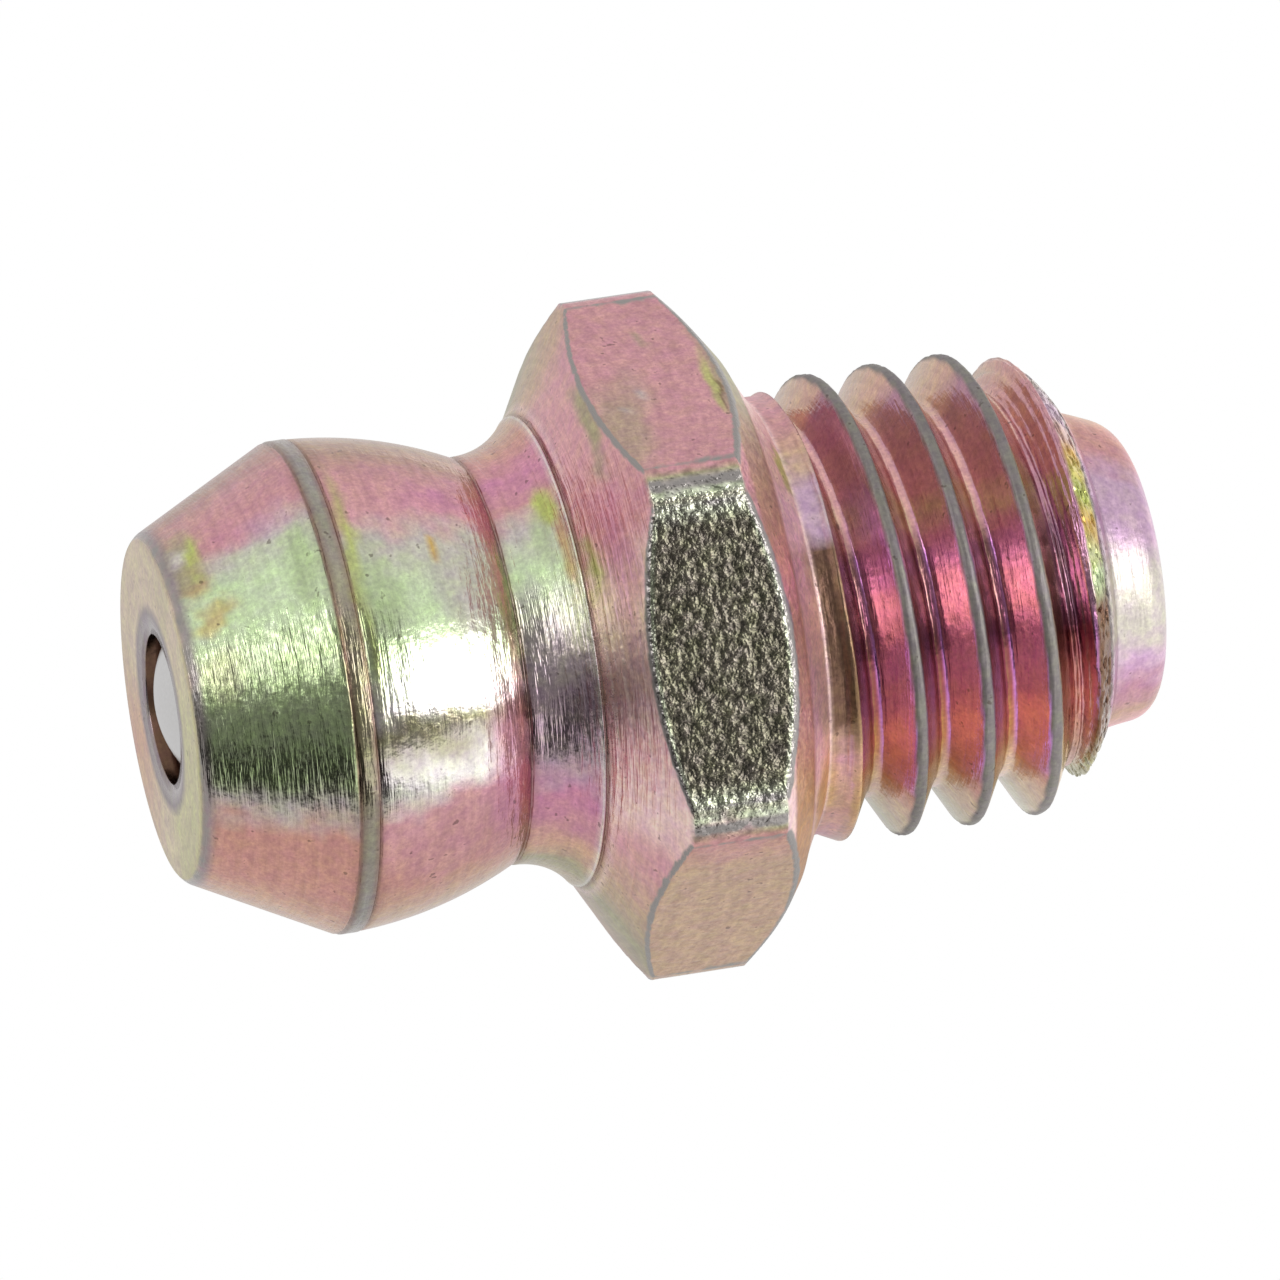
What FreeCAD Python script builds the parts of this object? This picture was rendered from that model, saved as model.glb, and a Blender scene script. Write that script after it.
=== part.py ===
import FreeCAD, Part

import math
import os

# A straight grease nipple, lying on one flat of its hexagon. Lengths are in millimetres and angles in degrees.
# The origin is on the axis, in the plane where the hexagon's rear chamfer meets its cone-shaped seat.
# +X runs along the axis towards the nose, so the head points to -X, and +Z is up.

INCH = 25.4

# Head that the coupler clips onto
FACE_DIAMETER = 4.64
FACE_EDGE_RADIUS = 0.08
FRONT_CONE_LENGTH = 1.88
RIDGE_DIAMETER = 6.48
RIDGE_LAND = 0.25
BACK_LENGTH = 2.16
BACK_CROWN = 0.11
NECK_DIAMETER = 5.36

# Flare from the neck to the hexagon
FLARE_LENGTH = 0.89
FLARE_DIAMETER = 6.22
FLARE_HOLLOW = 0.10

# Hexagon for the spanner
ACROSS_FLATS = INCH * 5 / 16
CORNER_DIAMETER = 8.94
FRONT_CHAMFER_LENGTH = 0.80
HEXAGON_LENGTH = 1.22
REAR_CHAMFER_LENGTH = 0.57
SEAT_DIAMETER = 7.36
SEAT_LENGTH = 0.44

# Shank with its thread, a quarter of an inch with 28 turns to the inch
UNDERCUT_DIAMETER = 5.80
UNDERCUT_LENGTH = 0.21
UNDERCUT_TAPER_LENGTH = 0.39
THREAD_DIAMETER = 6.18
THREAD_PITCH = INCH / 28
THREAD_DEPTH = 0.57
THREAD_FLANK_ANGLE = 30.0
THREAD_CREST_SHARE = 1 / 8
THREAD_START = 0.78
THREAD_START_CLOCK = -70.0
THREAD_RUN_OUT = 2.3
THREAD_CUTTER_MARGIN_SHARE = 0.4
THREADED_LENGTH = 2.81
LEAD_CHAMFER_LENGTH = 0.70

# Plain nose with its rolled-in lip
NOSE_DIAMETER = 4.26
NOSE_LENGTH = 0.80
NOSE_TAPER = 0.11
NOSE_END_DIAMETER = 3.16
LIP_THICKNESS = 0.40
LIP_HOLE_DIAMETER = 2.00
LIP_CORNER_RADIUS = 0.15

# Check ball and the mouth that it closes
BALL_DIAMETER = 3.00
BALL_RUNNING_CLEARANCE = 0.10
BALL_SEAT_CLEARANCE = 0.01
MOUTH_DIAMETER = 1.98
MOUTH_RIM_DIAMETER = 2.52
MOUTH_RIM_DEPTH = 0.12
MOUTH_DEPTH = 0.27
SEAT_CONE_ANGLE = 45.0

# Spring behind the ball
WIRE_DIAMETER = 0.40
SPRING_BORE_CLEARANCE = 0.10
SPRING_END_CLEARANCE = 0.02
SPRING_TURNS = 12
SPRING_CLOSED_TURNS = 1.0
SPRING_OPENING_TURNS = 0.5
STATIONS_PER_TURN = 16

# Worked out from the sizes above
HEX_FRONT_X = -(HEXAGON_LENGTH + REAR_CHAMFER_LENGTH)
FLARE_X = HEX_FRONT_X - FRONT_CHAMFER_LENGTH
NECK_X = FLARE_X - FLARE_LENGTH
RIDGE_BACK_X = NECK_X - BACK_LENGTH
RIDGE_FRONT_X = RIDGE_BACK_X - RIDGE_LAND
FACE_X = RIDGE_FRONT_X - FRONT_CONE_LENGTH
UNDERCUT_END_X = SEAT_LENGTH + UNDERCUT_LENGTH
THREAD_IN_X = UNDERCUT_END_X + UNDERCUT_TAPER_LENGTH
THREAD_END_X = THREAD_IN_X + THREADED_LENGTH
NOSE_X = THREAD_END_X + LEAD_CHAMFER_LENGTH
END_X = NOSE_X + NOSE_LENGTH
BORE_RADIUS = BALL_DIAMETER / 2 + BALL_RUNNING_CLEARANCE
LIP_X = END_X - LIP_THICKNESS
SEAT_SINE = math.sin(math.radians(SEAT_CONE_ANGLE))
SEAT_COSINE = math.cos(math.radians(SEAT_CONE_ANGLE))
BALL_REACH = BALL_DIAMETER / 2 + BALL_SEAT_CLEARANCE
BALL_X = FACE_X + MOUTH_DEPTH + (BALL_REACH - MOUTH_DIAMETER / 2 * SEAT_COSINE) / SEAT_SINE
COIL_RADIUS = BORE_RADIUS - SPRING_BORE_CLEARANCE - WIRE_DIAMETER / 2
COIL_REACH = BALL_DIAMETER / 2 + WIRE_DIAMETER / 2 + SPRING_END_CLEARANCE
SPRING_START_X = BALL_X + math.sqrt(COIL_REACH ** 2 - COIL_RADIUS ** 2)
SPRING_END_X = LIP_X - SPRING_END_CLEARANCE - WIRE_DIAMETER / 2
BALL_TRAVEL = SPRING_END_X - SPRING_START_X - SPRING_TURNS * WIRE_DIAMETER

AXIS = FreeCAD.Vector(1, 0, 0)
ORIGIN = FreeCAD.Vector(0, 0, 0)


def place(x, radius):
    """Give the point of the section at this length along the axis and this radius."""
    return FreeCAD.Vector(x, 0, radius)


def straight(start, end):
    """Join two points of the section by a line."""
    return Part.LineSegment(start, end).toShape()


def bowed(start, end, rise):
    """Join two points of the section by an arc that stands off their chord, outwards where rise is positive."""
    middle = (start + end) * 0.5
    chord = end - start
    outwards = FreeCAD.Vector(-chord.z, 0, chord.x)
    outwards.normalize()
    return Part.Arc(start, middle + outwards * rise, end).toShape()


def quarter_round(start, corner, end):
    """Round a corner of the section by an arc between two points beside it."""
    middle = corner + ((start + end) * 0.5 - corner) * (2 - math.sqrt(2))
    return Part.Arc(start, middle, end).toShape()


def head_edges():
    """Outer section from the rim of the mouth over the face and the ridge to the flare's edge."""
    face = FACE_DIAMETER / 2
    ridge = RIDGE_DIAMETER / 2
    rim = place(FACE_X, MOUTH_RIM_DIAMETER / 2)
    face_out = place(FACE_X, face - FACE_EDGE_RADIUS)
    cone_in = place(FACE_X + FACE_EDGE_RADIUS, face)
    ridge_front = place(RIDGE_FRONT_X, ridge)
    ridge_back = place(RIDGE_BACK_X, ridge)
    neck = place(NECK_X, NECK_DIAMETER / 2)
    flare = place(FLARE_X, FLARE_DIAMETER / 2)
    return [
        straight(rim, face_out),
        quarter_round(face_out, place(FACE_X, face), cone_in),
        straight(cone_in, ridge_front),
        straight(ridge_front, ridge_back),
        bowed(ridge_back, neck, BACK_CROWN),
        bowed(neck, flare, -FLARE_HOLLOW),
    ]


def collar_edges():
    """Outer section of the round collar that the hexagon is milled from, down to the undercut behind its seat."""
    flare = place(FLARE_X, FLARE_DIAMETER / 2)
    front = place(HEX_FRONT_X, CORNER_DIAMETER / 2)
    rear = place(-REAR_CHAMFER_LENGTH, CORNER_DIAMETER / 2)
    seat_out = place(0, SEAT_DIAMETER / 2)
    seat_in = place(SEAT_LENGTH, UNDERCUT_DIAMETER / 2)
    return [straight(flare, front), straight(front, rear), straight(rear, seat_out), straight(seat_out, seat_in)]


def shank_edges():
    """Outer section from the undercut over the thread's crests and the nose to the rolled lip's end face."""
    crest = THREAD_DIAMETER / 2
    seat_in = place(SEAT_LENGTH, UNDERCUT_DIAMETER / 2)
    undercut = place(UNDERCUT_END_X, UNDERCUT_DIAMETER / 2)
    thread_in = place(THREAD_IN_X, crest)
    thread_out = place(THREAD_END_X, crest)
    nose_in = place(NOSE_X, NOSE_DIAMETER / 2)
    roll_start = place(LIP_X, NOSE_DIAMETER / 2 - NOSE_TAPER)
    roll_end = place(END_X, NOSE_END_DIAMETER / 2)
    roll_corner = place(END_X, NOSE_DIAMETER / 2 - NOSE_TAPER)
    lip_out = place(END_X, LIP_HOLE_DIAMETER / 2)
    return [
        straight(seat_in, undercut),
        straight(undercut, thread_in),
        straight(thread_in, thread_out),
        straight(thread_out, nose_in),
        straight(nose_in, roll_start),
        quarter_round(roll_start, roll_corner, roll_end),
        straight(roll_end, lip_out),
    ]


def passage_edges():
    """Inner section from the lip's hole back through the bore and the ball's seat to the rim of the mouth."""
    mouth = MOUTH_DIAMETER / 2
    cone_end_x = FACE_X + MOUTH_DEPTH + (BORE_RADIUS - mouth) * SEAT_COSINE / SEAT_SINE
    lip_out = place(END_X, LIP_HOLE_DIAMETER / 2)
    lip_in = place(LIP_X, LIP_HOLE_DIAMETER / 2)
    corner_out = place(LIP_X, BORE_RADIUS - LIP_CORNER_RADIUS)
    corner_in = place(LIP_X - LIP_CORNER_RADIUS, BORE_RADIUS)
    cone_end = place(cone_end_x, BORE_RADIUS)
    cone_start = place(FACE_X + MOUTH_DEPTH, mouth)
    mouth_in = place(FACE_X + MOUTH_RIM_DEPTH, mouth)
    rim = place(FACE_X, MOUTH_RIM_DIAMETER / 2)
    return [
        straight(lip_out, lip_in),
        straight(lip_in, corner_out),
        quarter_round(corner_out, place(LIP_X, BORE_RADIUS), corner_in),
        straight(corner_in, cone_end),
        straight(cone_end, cone_start),
        straight(cone_start, mouth_in),
        straight(mouth_in, rim),
    ]


def turned_blank():
    """Turn the whole closed section about the axis."""
    section = Part.Wire(head_edges() + collar_edges() + shank_edges() + passage_edges())
    return Part.Face(section).revolve(ORIGIN, AXIS, 360)


def milled_away():
    """Give the ring of metal outside the hexagon's six flats."""
    start = NECK_X
    length = END_X - start
    corner = ACROSS_FLATS / math.sqrt(3)
    points = []
    for side in range(7):
        angle = math.radians(60 * side)
        points.append(FreeCAD.Vector(start, corner * math.cos(angle), corner * math.sin(angle)))
    prism = Part.Face(Part.makePolygon(points)).extrude(AXIS * length)
    ring = Part.makeCylinder(CORNER_DIAMETER, length, FreeCAD.Vector(start, 0, 0), AXIS)
    return ring.cut(prism)


def groove_section(radius_margin):
    """Give the closed outline of the thread's groove, standing on the helix's start with its axis along Z."""
    crest = THREAD_DIAMETER / 2
    root = crest - THREAD_DEPTH
    slope = math.tan(math.radians(THREAD_FLANK_ANGLE))
    half_mouth = THREAD_PITCH * (1 - THREAD_CREST_SHARE) / 2
    half_root = half_mouth - THREAD_DEPTH * slope
    half_top = half_mouth + radius_margin * slope
    top = crest + radius_margin
    corners = [(root, -half_root), (top, -half_top), (top, half_top), (root, half_root), (root, -half_root)]
    return Part.makePolygon([FreeCAD.Vector(radius, 0, z) for radius, z in corners])


def thread_groove():
    """Cut the right-hand groove, which fades out along a straight line where the cutter left the shank."""
    gap_between_turns = THREAD_PITCH * THREAD_CREST_SHARE
    cutter_margin = THREAD_CUTTER_MARGIN_SHARE * gap_between_turns
    radius_margin = cutter_margin / math.tan(math.radians(THREAD_FLANK_ANGLE))
    length = NOSE_X + THREAD_PITCH / 2 - THREAD_START
    helix = Part.makeLongHelix(THREAD_PITCH, length, THREAD_DIAMETER / 2)
    section = groove_section(radius_margin)
    turns = Part.Wire(helix.Edges).makePipeShell([section], True, True)
    along = FreeCAD.Vector(0, math.pi * THREAD_DIAMETER, THREAD_PITCH)
    along.normalize()
    run_out = Part.Face(section).extrude(along * -THREAD_RUN_OUT)
    grooves = []
    for piece in (turns, run_out):
        solid = piece if piece.ShapeType == "Solid" else Part.Solid(piece.Shells[0])
        solid.rotate(ORIGIN, FreeCAD.Vector(0, 0, 1), 180 + THREAD_START_CLOCK)
        solid.rotate(ORIGIN, FreeCAD.Vector(0, 1, 0), 90)
        solid.translate(AXIS * THREAD_START)
        grooves.append(solid)
    return grooves


def make_body():
    """Make the turned body with its hexagon, its thread and its passage."""
    body = turned_blank().cut(milled_away())
    for groove in thread_groove():
        body = body.cut(groove)
    return body.removeSplitter().Solids[0]


def make_ball():
    """Make the check ball on its seat."""
    return Part.makeSphere(BALL_DIAMETER / 2, FreeCAD.Vector(BALL_X, 0, 0))


def spring_advance():
    """Share the spring's length over its stations: closed turns at both ends and an even pitch between."""
    count = SPRING_TURNS * STATIONS_PER_TURN
    closed_pitch = WIRE_DIAMETER + SPRING_END_CLEARANCE
    openness = []
    for step in range(count):
        turn = (step + 0.5) / STATIONS_PER_TURN
        into_open = min(turn, SPRING_TURNS - turn) - SPRING_CLOSED_TURNS
        share = min(max(into_open / SPRING_OPENING_TURNS, 0.0), 1.0)
        openness.append(share * share * (3 - 2 * share))
    length = SPRING_END_X - SPRING_START_X
    spare = (length * STATIONS_PER_TURN - closed_pitch * count) / sum(openness)
    places = [SPRING_START_X]
    for share in openness:
        places.append(places[-1] + (closed_pitch + spare * share) / STATIONS_PER_TURN)
    return places


def make_spring():
    """Make the round-wire compression spring between the ball and the rolled lip."""
    points = []
    for step, x in enumerate(spring_advance()):
        angle = math.radians(360 * step / STATIONS_PER_TURN)
        points.append(FreeCAD.Vector(x, COIL_RADIUS * math.sin(angle), COIL_RADIUS * math.cos(angle)))
    path = Part.BSplineCurve()
    path.interpolate(points)
    tangent = path.tangent(path.FirstParameter)[0]
    circle = Part.Circle(points[0], tangent, WIRE_DIAMETER / 2).toShape()
    wire = Part.Wire(path.toShape())
    return wire.makePipeShell([Part.Wire(circle)], True, True)


def main():
    os.makedirs("parts", exist_ok=True)
    nodes = {"body": make_body(), "ball": make_ball(), "spring": make_spring()}
    for name, shape in nodes.items():
        box = shape.BoundBox
        print(name, shape.ShapeType, "valid", shape.isValid(), "solids", len(shape.Solids),
              "volume", round(shape.Volume, 4), "x", round(box.XMin, 4), round(box.XMax, 4))
        shape.exportStep("parts/" + name + ".step")
    print("face", round(FACE_X, 4), "end", round(END_X, 4), "ball centre", round(BALL_X, 4))
    print("ball travel", round(BALL_TRAVEL, 4))


main()
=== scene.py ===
import logging
import math
from dataclasses import dataclass, field
from enum import Enum

import bpy
import numpy as np
from mathutils import Matrix, Vector

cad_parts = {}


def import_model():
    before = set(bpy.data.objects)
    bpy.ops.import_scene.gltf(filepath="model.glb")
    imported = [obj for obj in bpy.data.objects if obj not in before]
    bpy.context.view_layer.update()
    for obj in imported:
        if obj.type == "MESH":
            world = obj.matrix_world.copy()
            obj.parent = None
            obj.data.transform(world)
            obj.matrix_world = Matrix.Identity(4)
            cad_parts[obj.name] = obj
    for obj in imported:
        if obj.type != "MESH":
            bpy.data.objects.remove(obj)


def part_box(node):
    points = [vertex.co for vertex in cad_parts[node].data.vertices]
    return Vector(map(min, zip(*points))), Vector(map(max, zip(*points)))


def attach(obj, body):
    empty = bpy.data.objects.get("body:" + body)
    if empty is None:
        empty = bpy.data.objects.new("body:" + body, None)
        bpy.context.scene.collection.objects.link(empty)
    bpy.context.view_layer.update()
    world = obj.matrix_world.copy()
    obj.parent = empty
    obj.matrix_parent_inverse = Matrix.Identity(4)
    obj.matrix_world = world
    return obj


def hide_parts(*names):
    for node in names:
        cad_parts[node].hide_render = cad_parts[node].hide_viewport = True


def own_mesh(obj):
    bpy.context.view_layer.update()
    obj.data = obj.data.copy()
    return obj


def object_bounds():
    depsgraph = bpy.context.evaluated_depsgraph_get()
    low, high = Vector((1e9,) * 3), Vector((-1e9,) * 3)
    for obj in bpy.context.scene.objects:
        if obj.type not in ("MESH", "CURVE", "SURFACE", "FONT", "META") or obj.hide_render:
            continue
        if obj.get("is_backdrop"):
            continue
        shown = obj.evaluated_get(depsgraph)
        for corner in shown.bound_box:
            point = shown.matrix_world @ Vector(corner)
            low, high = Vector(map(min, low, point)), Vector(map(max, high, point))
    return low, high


logging.basicConfig(level=logging.INFO, format="%(message)s")
LOG = logging.getLogger("grease_nipple")

MM = 0.001
INCH = 25.4

Tree = bpy.types.NodeTree
Socket = bpy.types.NodeSocket


class Body(str, Enum):
    """The bodies that the pieces ride on."""

    NIPPLE = "nipple"
    BALL = "ball"


class Slot(str, Enum):
    """The record's material slots."""

    ZINC = "passivated_zinc_plate"
    BALL = "bearing_steel"
    WIRE = "spring_wire"


class Film(str, Enum):
    """Colours of the passivation film, from its interference orders, and of bare zinc and pits. The
    near-white and the pale glare colours are painted highlights, and umber also serves as painted shade in
    grooves and recesses.
    """

    TAN = "cbab93"
    PEACH = "d6ac96"
    SALMON = "cf9a90"
    ROSE = "cf9aa0"
    BLUSH = "dba6ac"
    MAGENTA = "cf8dab"
    LILAC = "cdaec6"
    PEARL = "c9c2bb"
    MINT = "cfe2ba"
    LEAF = "b4c59a"
    LIME = "bcc474"
    GOLD = "c9a258"
    ORANGE = "bd8c60"
    OLIVE = "a8a283"
    BROWN = "b39080"
    PETAL = "f4d4d2"
    PAINTED_HIGHLIGHT = "ebe8e2"
    MAUVE = "c6b0ba"
    CRIMSON = "da92cc"
    RED = "d890cc"
    RUST = "c88a84"
    WINE = "b4869a"
    UMBER = "7c6050"
    VIOLET = "9c9194"
    STRAW = "d9c8b0"
    SAND = "cdc79f"
    PAINTED_GLARE = "d3dac2"
    MEADOW = "b59a7c"
    BRONZE = "967a58"
    AMBER = "9c7e50"
    HONEY = "c29c54"
    CORAL = "e5afad"
    CLAY = "9f7170"
    HEATHER = "a96681"
    GARNET = "81444c"
    EMBER = "93524d"
    COPPER = "b67855"
    ORCHID = "e89af8"
    MOSS = "6e6a5e"
    CREST = "8a8583"
    ZINC = "9a9592"
    PIT = "4a3a34"


Run = list[tuple[float, Film]]


def linear(code: str) -> np.ndarray:
    """Turn an sRGB hex colour to linear red, green and blue.

    Args:
        code: Six hex digits, such as "c08070".

    Returns:
        Three linear values from 0 to 1.
    """
    parts = np.array([int(code[i : i + 2], 16) for i in (0, 2, 4)]) / 255
    return np.where(parts <= 0.04045, parts / 12.92, ((parts + 0.055) / 1.055) ** 2.4)


def rgba(code: str) -> tuple[float, float, float, float]:
    """Turn an sRGB hex colour to linear red, green, blue and full alpha."""
    return (*(float(v) for v in linear(code)), 1.0)


def smooth(low: float, high: float, value: np.ndarray) -> np.ndarray:
    """Rise from 0 at low to 1 at high along a cubic, and stay level outside.

    Args:
        low: Where the rise starts. Where it is above high, the curve falls instead.
        high: Where the rise ends.
        value: The places to work out.

    Returns:
        A share from 0 to 1 for each place.
    """
    t = np.clip((value - low) / (high - low), 0.0, 1.0)
    return t * t * (3 - 2 * t)


def bell(value: np.ndarray, middle: float, reach: float) -> np.ndarray:
    """Give e to the minus square of the distance from the middle, counted in reaches."""
    return np.exp(-(((value - middle) / reach) ** 2))


def soft_min(a: np.ndarray, b: np.ndarray, blend: float) -> np.ndarray:
    """Take the smaller of two surfaces, rounded over where they meet.

    The formula is the smaller one less h squared times a quarter of the blend, where h falls from 1 at
    the meeting line to 0 at one blend width from it.

    Args:
        a: First heights.
        b: Second heights.
        blend: Width of the rounding, in the same units.

    Returns:
        The blended heights.
    """
    h = np.clip(1 - np.abs(a - b) / blend, 0.0, 1.0)
    return np.minimum(a, b) - h * h * blend / 4


def wrapped(angle: np.ndarray) -> np.ndarray:
    """Bring an angle in degrees to the range from -180 to 180."""
    return (angle + 180.0) % 360.0 - 180.0


def value_noise(x: np.ndarray, y: np.ndarray, period_y: int, seed: int) -> np.ndarray:
    """Give smooth noise on a plane that repeats in y, by cubic blending between random corner values.

    Args:
        x: First coordinate, in cells.
        y: Second coordinate, in cells.
        period_y: Number of cells after which y repeats.
        seed: Seed of the corner values.

    Returns:
        Noise from -1 to 1.
    """
    low = int(np.floor(x.min())) - 1
    count = int(np.ceil(x.max())) - low + 3
    corner = np.random.default_rng(seed).uniform(-1, 1, (count, period_y))
    i, j = np.floor(x).astype(int), np.floor(y).astype(int)
    u, v = x - i, y - j
    u, v = u * u * (3 - 2 * u), v * v * (3 - 2 * v)
    i = i - low
    a, b = corner[i, j % period_y], corner[i + 1, j % period_y]
    c, d = corner[i, (j + 1) % period_y], corner[i + 1, (j + 1) % period_y]
    return (a * (1 - u) + b * u) * (1 - v) + (c * (1 - u) + d * u) * v


def drift(x: np.ndarray, clock: np.ndarray, seed: int) -> np.ndarray:
    """Give slow noise over the body, by which the film's colours are pushed about.

    It is noise of about a third of a millimetre, plus half as much noise of an eighth.

    Args:
        x: Places along the axis, in millimetres.
        clock: Clock angles in degrees.
        seed: Seed of the first noise. The second takes the next one.

    Returns:
        Noise from -1.5 to 1.5.
    """
    cells = 72
    slow = value_noise(x * 3.1, clock / 360 * cells, cells, seed)
    return slow + 0.5 * value_noise(x * 8.0, clock / 360 * cells * 2, cells * 2, seed + 1)


@dataclass(frozen=True)
class Span:
    """A length along the axis over which something fades in and out again, in millimetres."""

    rise_from: float
    rise_to: float
    fall_from: float
    fall_to: float

    def share(self, x: np.ndarray) -> np.ndarray:
        """Give 1 inside the length and 0 outside it, with a soft edge at each end."""
        return smooth(self.rise_from, self.rise_to, x) * smooth(self.fall_to, self.fall_from, x)


@dataclass(frozen=True)
class Chip:
    """A small chip knocked out of an edge: its place, its clock angle and its depth, as a bell."""

    x: float
    clock: float
    depth: float
    reach_x: float = 0.07
    reach_clock: float = 2.2

    def cut(self, x: np.ndarray, clock: np.ndarray) -> np.ndarray:
        """Give the chip's depth at each place, in millimetres."""
        away = ((x - self.x) / self.reach_x) ** 2 + (wrapped(clock - self.clock) / self.reach_clock) ** 2
        return self.depth * np.exp(-away)


@dataclass(frozen=True)
class Zone:
    """A length of the surface with its own run of film colours round the axis."""

    start_x: float
    end_x: float
    run: Run
    fade: float = 0.04

    def share(self, x: np.ndarray) -> np.ndarray:
        """Give 1 inside the zone and 0 outside, with a soft edge."""
        start, end, fade = self.start_x, self.end_x, self.fade
        return Span(start - fade, start + fade, end - fade, end + fade).share(x)


@dataclass(frozen=True)
class Bloom:
    """A cloud of one colour in the passivation, centred at a place along the axis and a clock angle.

    The clock angle is in degrees from the top, turning towards the front, and is seen with the nipple
    lying as it does. The reaches are in millimetres and degrees.
    """

    film: Film
    x: float
    clock: float
    reach_x: float
    reach_clock: float
    strength: float = 1.0

    def share(self, x: np.ndarray, clock: np.ndarray) -> np.ndarray:
        """Give the cloud's share: strength times e to the minus fourth power of the distance in reaches."""
        away = ((x - self.x) / self.reach_x) ** 2 + (wrapped(clock - self.clock) / self.reach_clock) ** 2
        return np.clip(self.strength * np.exp(-(away**2)), 0, 1)


@dataclass(frozen=True)
class Line:
    """A fine line of one colour round the body, at a place along the axis, as a bell."""

    film: Film
    x: float
    reach: float
    strength: float

    def share(self, x: np.ndarray) -> np.ndarray:
        """Give the line's share at each place."""
        return self.strength * bell(x, self.x, self.reach)


def run_colour(run: Run, clock: np.ndarray) -> np.ndarray:
    """Blend film colours round the axis, straight between neighbouring stops, and round past 360.

    Args:
        run: Clock angles in degrees with their colours, in rising order.
        clock: The angles to work out.

    Returns:
        Linear colours, one for each angle.
    """
    angles = [angle for angle, _ in run]
    colours = np.array([linear(film.value) for _, film in run])
    return np.stack([np.interp(clock, angles, colours[:, k], period=360) for k in range(3)], -1)


def lay_over(film: np.ndarray, colour: np.ndarray, share: np.ndarray) -> np.ndarray:
    """Lay a colour over the film's colours.

    Args:
        film: Linear colours so far, one for each point.
        colour: One linear colour, or one for each point.
        share: How much of the new colour shows, from 0 to 1.

    Returns:
        The new colours.
    """
    weight = share[..., None]
    return film * (1 - weight) + colour * weight


def add_mesh(name: str, places: np.ndarray, faces: np.ndarray) -> bpy.types.Object:
    """Make a smooth-shaded mesh object at the origin from places in millimetres.

    Args:
        name: The object's name.
        places: Rows of x, y, z in millimetres.
        faces: Rows of four corner numbers.

    Returns:
        The new object, linked to the scene.
    """
    mesh = bpy.data.meshes.new(name)
    mesh.vertices.add(len(places))
    mesh.vertices.foreach_set("co", (places * MM).astype(np.float32).ravel())
    sides = faces.shape[1]
    mesh.loops.add(faces.size)
    mesh.loops.foreach_set("vertex_index", faces.astype(np.int32).ravel())
    mesh.polygons.add(len(faces))
    mesh.polygons.foreach_set("loop_start", np.arange(len(faces), dtype=np.int32) * sides)
    mesh.polygons.foreach_set("loop_total", np.full(len(faces), sides, np.int32))
    mesh.update(calc_edges=True)
    mesh.validate()
    mesh.shade_smooth()
    return link(name, mesh)


def add_capped_mesh(name: str, grid: np.ndarray, poles: np.ndarray) -> bpy.types.Object:
    """Make a smooth-shaded mesh of a grid whose rows close round, with a fan of triangles at each end.

    Args:
        name: The object's name.
        grid: Rows of points of x, y, z in millimetres, from the first pole to the last.
        poles: The first and the last pole.

    Returns:
        The new object, linked to the scene.
    """
    rows, columns = grid.shape[:2]
    places = np.concatenate([grid.reshape(-1, 3), poles]) * MM
    around = np.arange(columns)
    after = (around + 1) % columns
    last_row = (rows - 1) * columns
    first_fan = np.stack([np.full(columns, rows * columns), after, around], 1)
    last_fan = np.stack([np.full(columns, rows * columns + 1), last_row + around, last_row + after], 1)
    faces = grid_faces(rows, columns, False).tolist() + first_fan.tolist() + last_fan.tolist()
    mesh = bpy.data.meshes.new(name)
    mesh.from_pydata(places.astype(np.float32).tolist(), [], faces)
    mesh.shade_smooth()
    return link(name, mesh)


def link(name: str, mesh: bpy.types.Mesh) -> bpy.types.Object:
    """Put a mesh in the scene as an object at the origin."""
    piece = bpy.data.objects.new(name, mesh)
    bpy.context.scene.collection.objects.link(piece)
    return piece


def grid_faces(rows: int, columns: int, close_rows: bool) -> np.ndarray:
    """Give the faces of a grid whose columns close round, and whose rows may close too.

    Args:
        rows: Number of rows of points.
        columns: Number of points in a row.
        close_rows: Whether the last row joins the first.

    Returns:
        Rows of four corner numbers, which point outwards where rows run along the surface's length
        and columns turn by the right hand about it.
    """
    i = np.arange(rows if close_rows else rows - 1)[:, None]
    j = np.arange(columns)[None, :]
    here, there = i * columns, ((i + 1) % rows) * columns
    right = (j + 1) % columns
    quads = np.stack([here + j, here + right, there + right, there + j], -1)
    return quads.reshape(-1, 4)


def store(piece: bpy.types.Object, name: str, values: np.ndarray) -> None:
    """Write one value or colour for each point of a mesh as an attribute.

    Args:
        piece: The mesh object.
        name: The attribute's name.
        values: One number or three for each point.
    """
    if values.ndim == 3:
        attribute = piece.data.attributes.new(name, "FLOAT_COLOR", "POINT")
        colours = np.concatenate([values.reshape(-1, 3), np.ones((values.size // 3, 1))], 1)
        attribute.data.foreach_set("color", colours.astype(np.float32).ravel())
    else:
        attribute = piece.data.attributes.new(name, "FLOAT", "POINT")
        attribute.data.foreach_set("value", values.astype(np.float32).ravel())


def add_node(tree: Tree, kind: str, settings: dict | None = None, **inputs) -> bpy.types.Node:
    """Add a node with its settings and its inputs' values or links.

    Args:
        tree: The tree that gets the node.
        kind: The node's type name after the word ShaderNode.
        settings: Properties of the node to set.
        **inputs: Values, sockets or nodes for its inputs. i0 is the first input, and any other name
            is the input of that name. A node gives its first output.

    Returns:
        The new node.
    """
    node = tree.nodes.new("ShaderNode" + kind)
    for key, value in (settings or {}).items():
        setattr(node, key, value)
    for key, value in inputs.items():
        numbered = key[0] == "i" and key[1:].isdigit()
        socket = node.inputs[int(key[1:]) if numbered else key]
        if isinstance(value, bpy.types.Node):
            tree.links.new(value.outputs[0], socket)
        elif isinstance(value, Socket):
            tree.links.new(value, socket)
        else:
            socket.default_value = value
    return node


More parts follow.
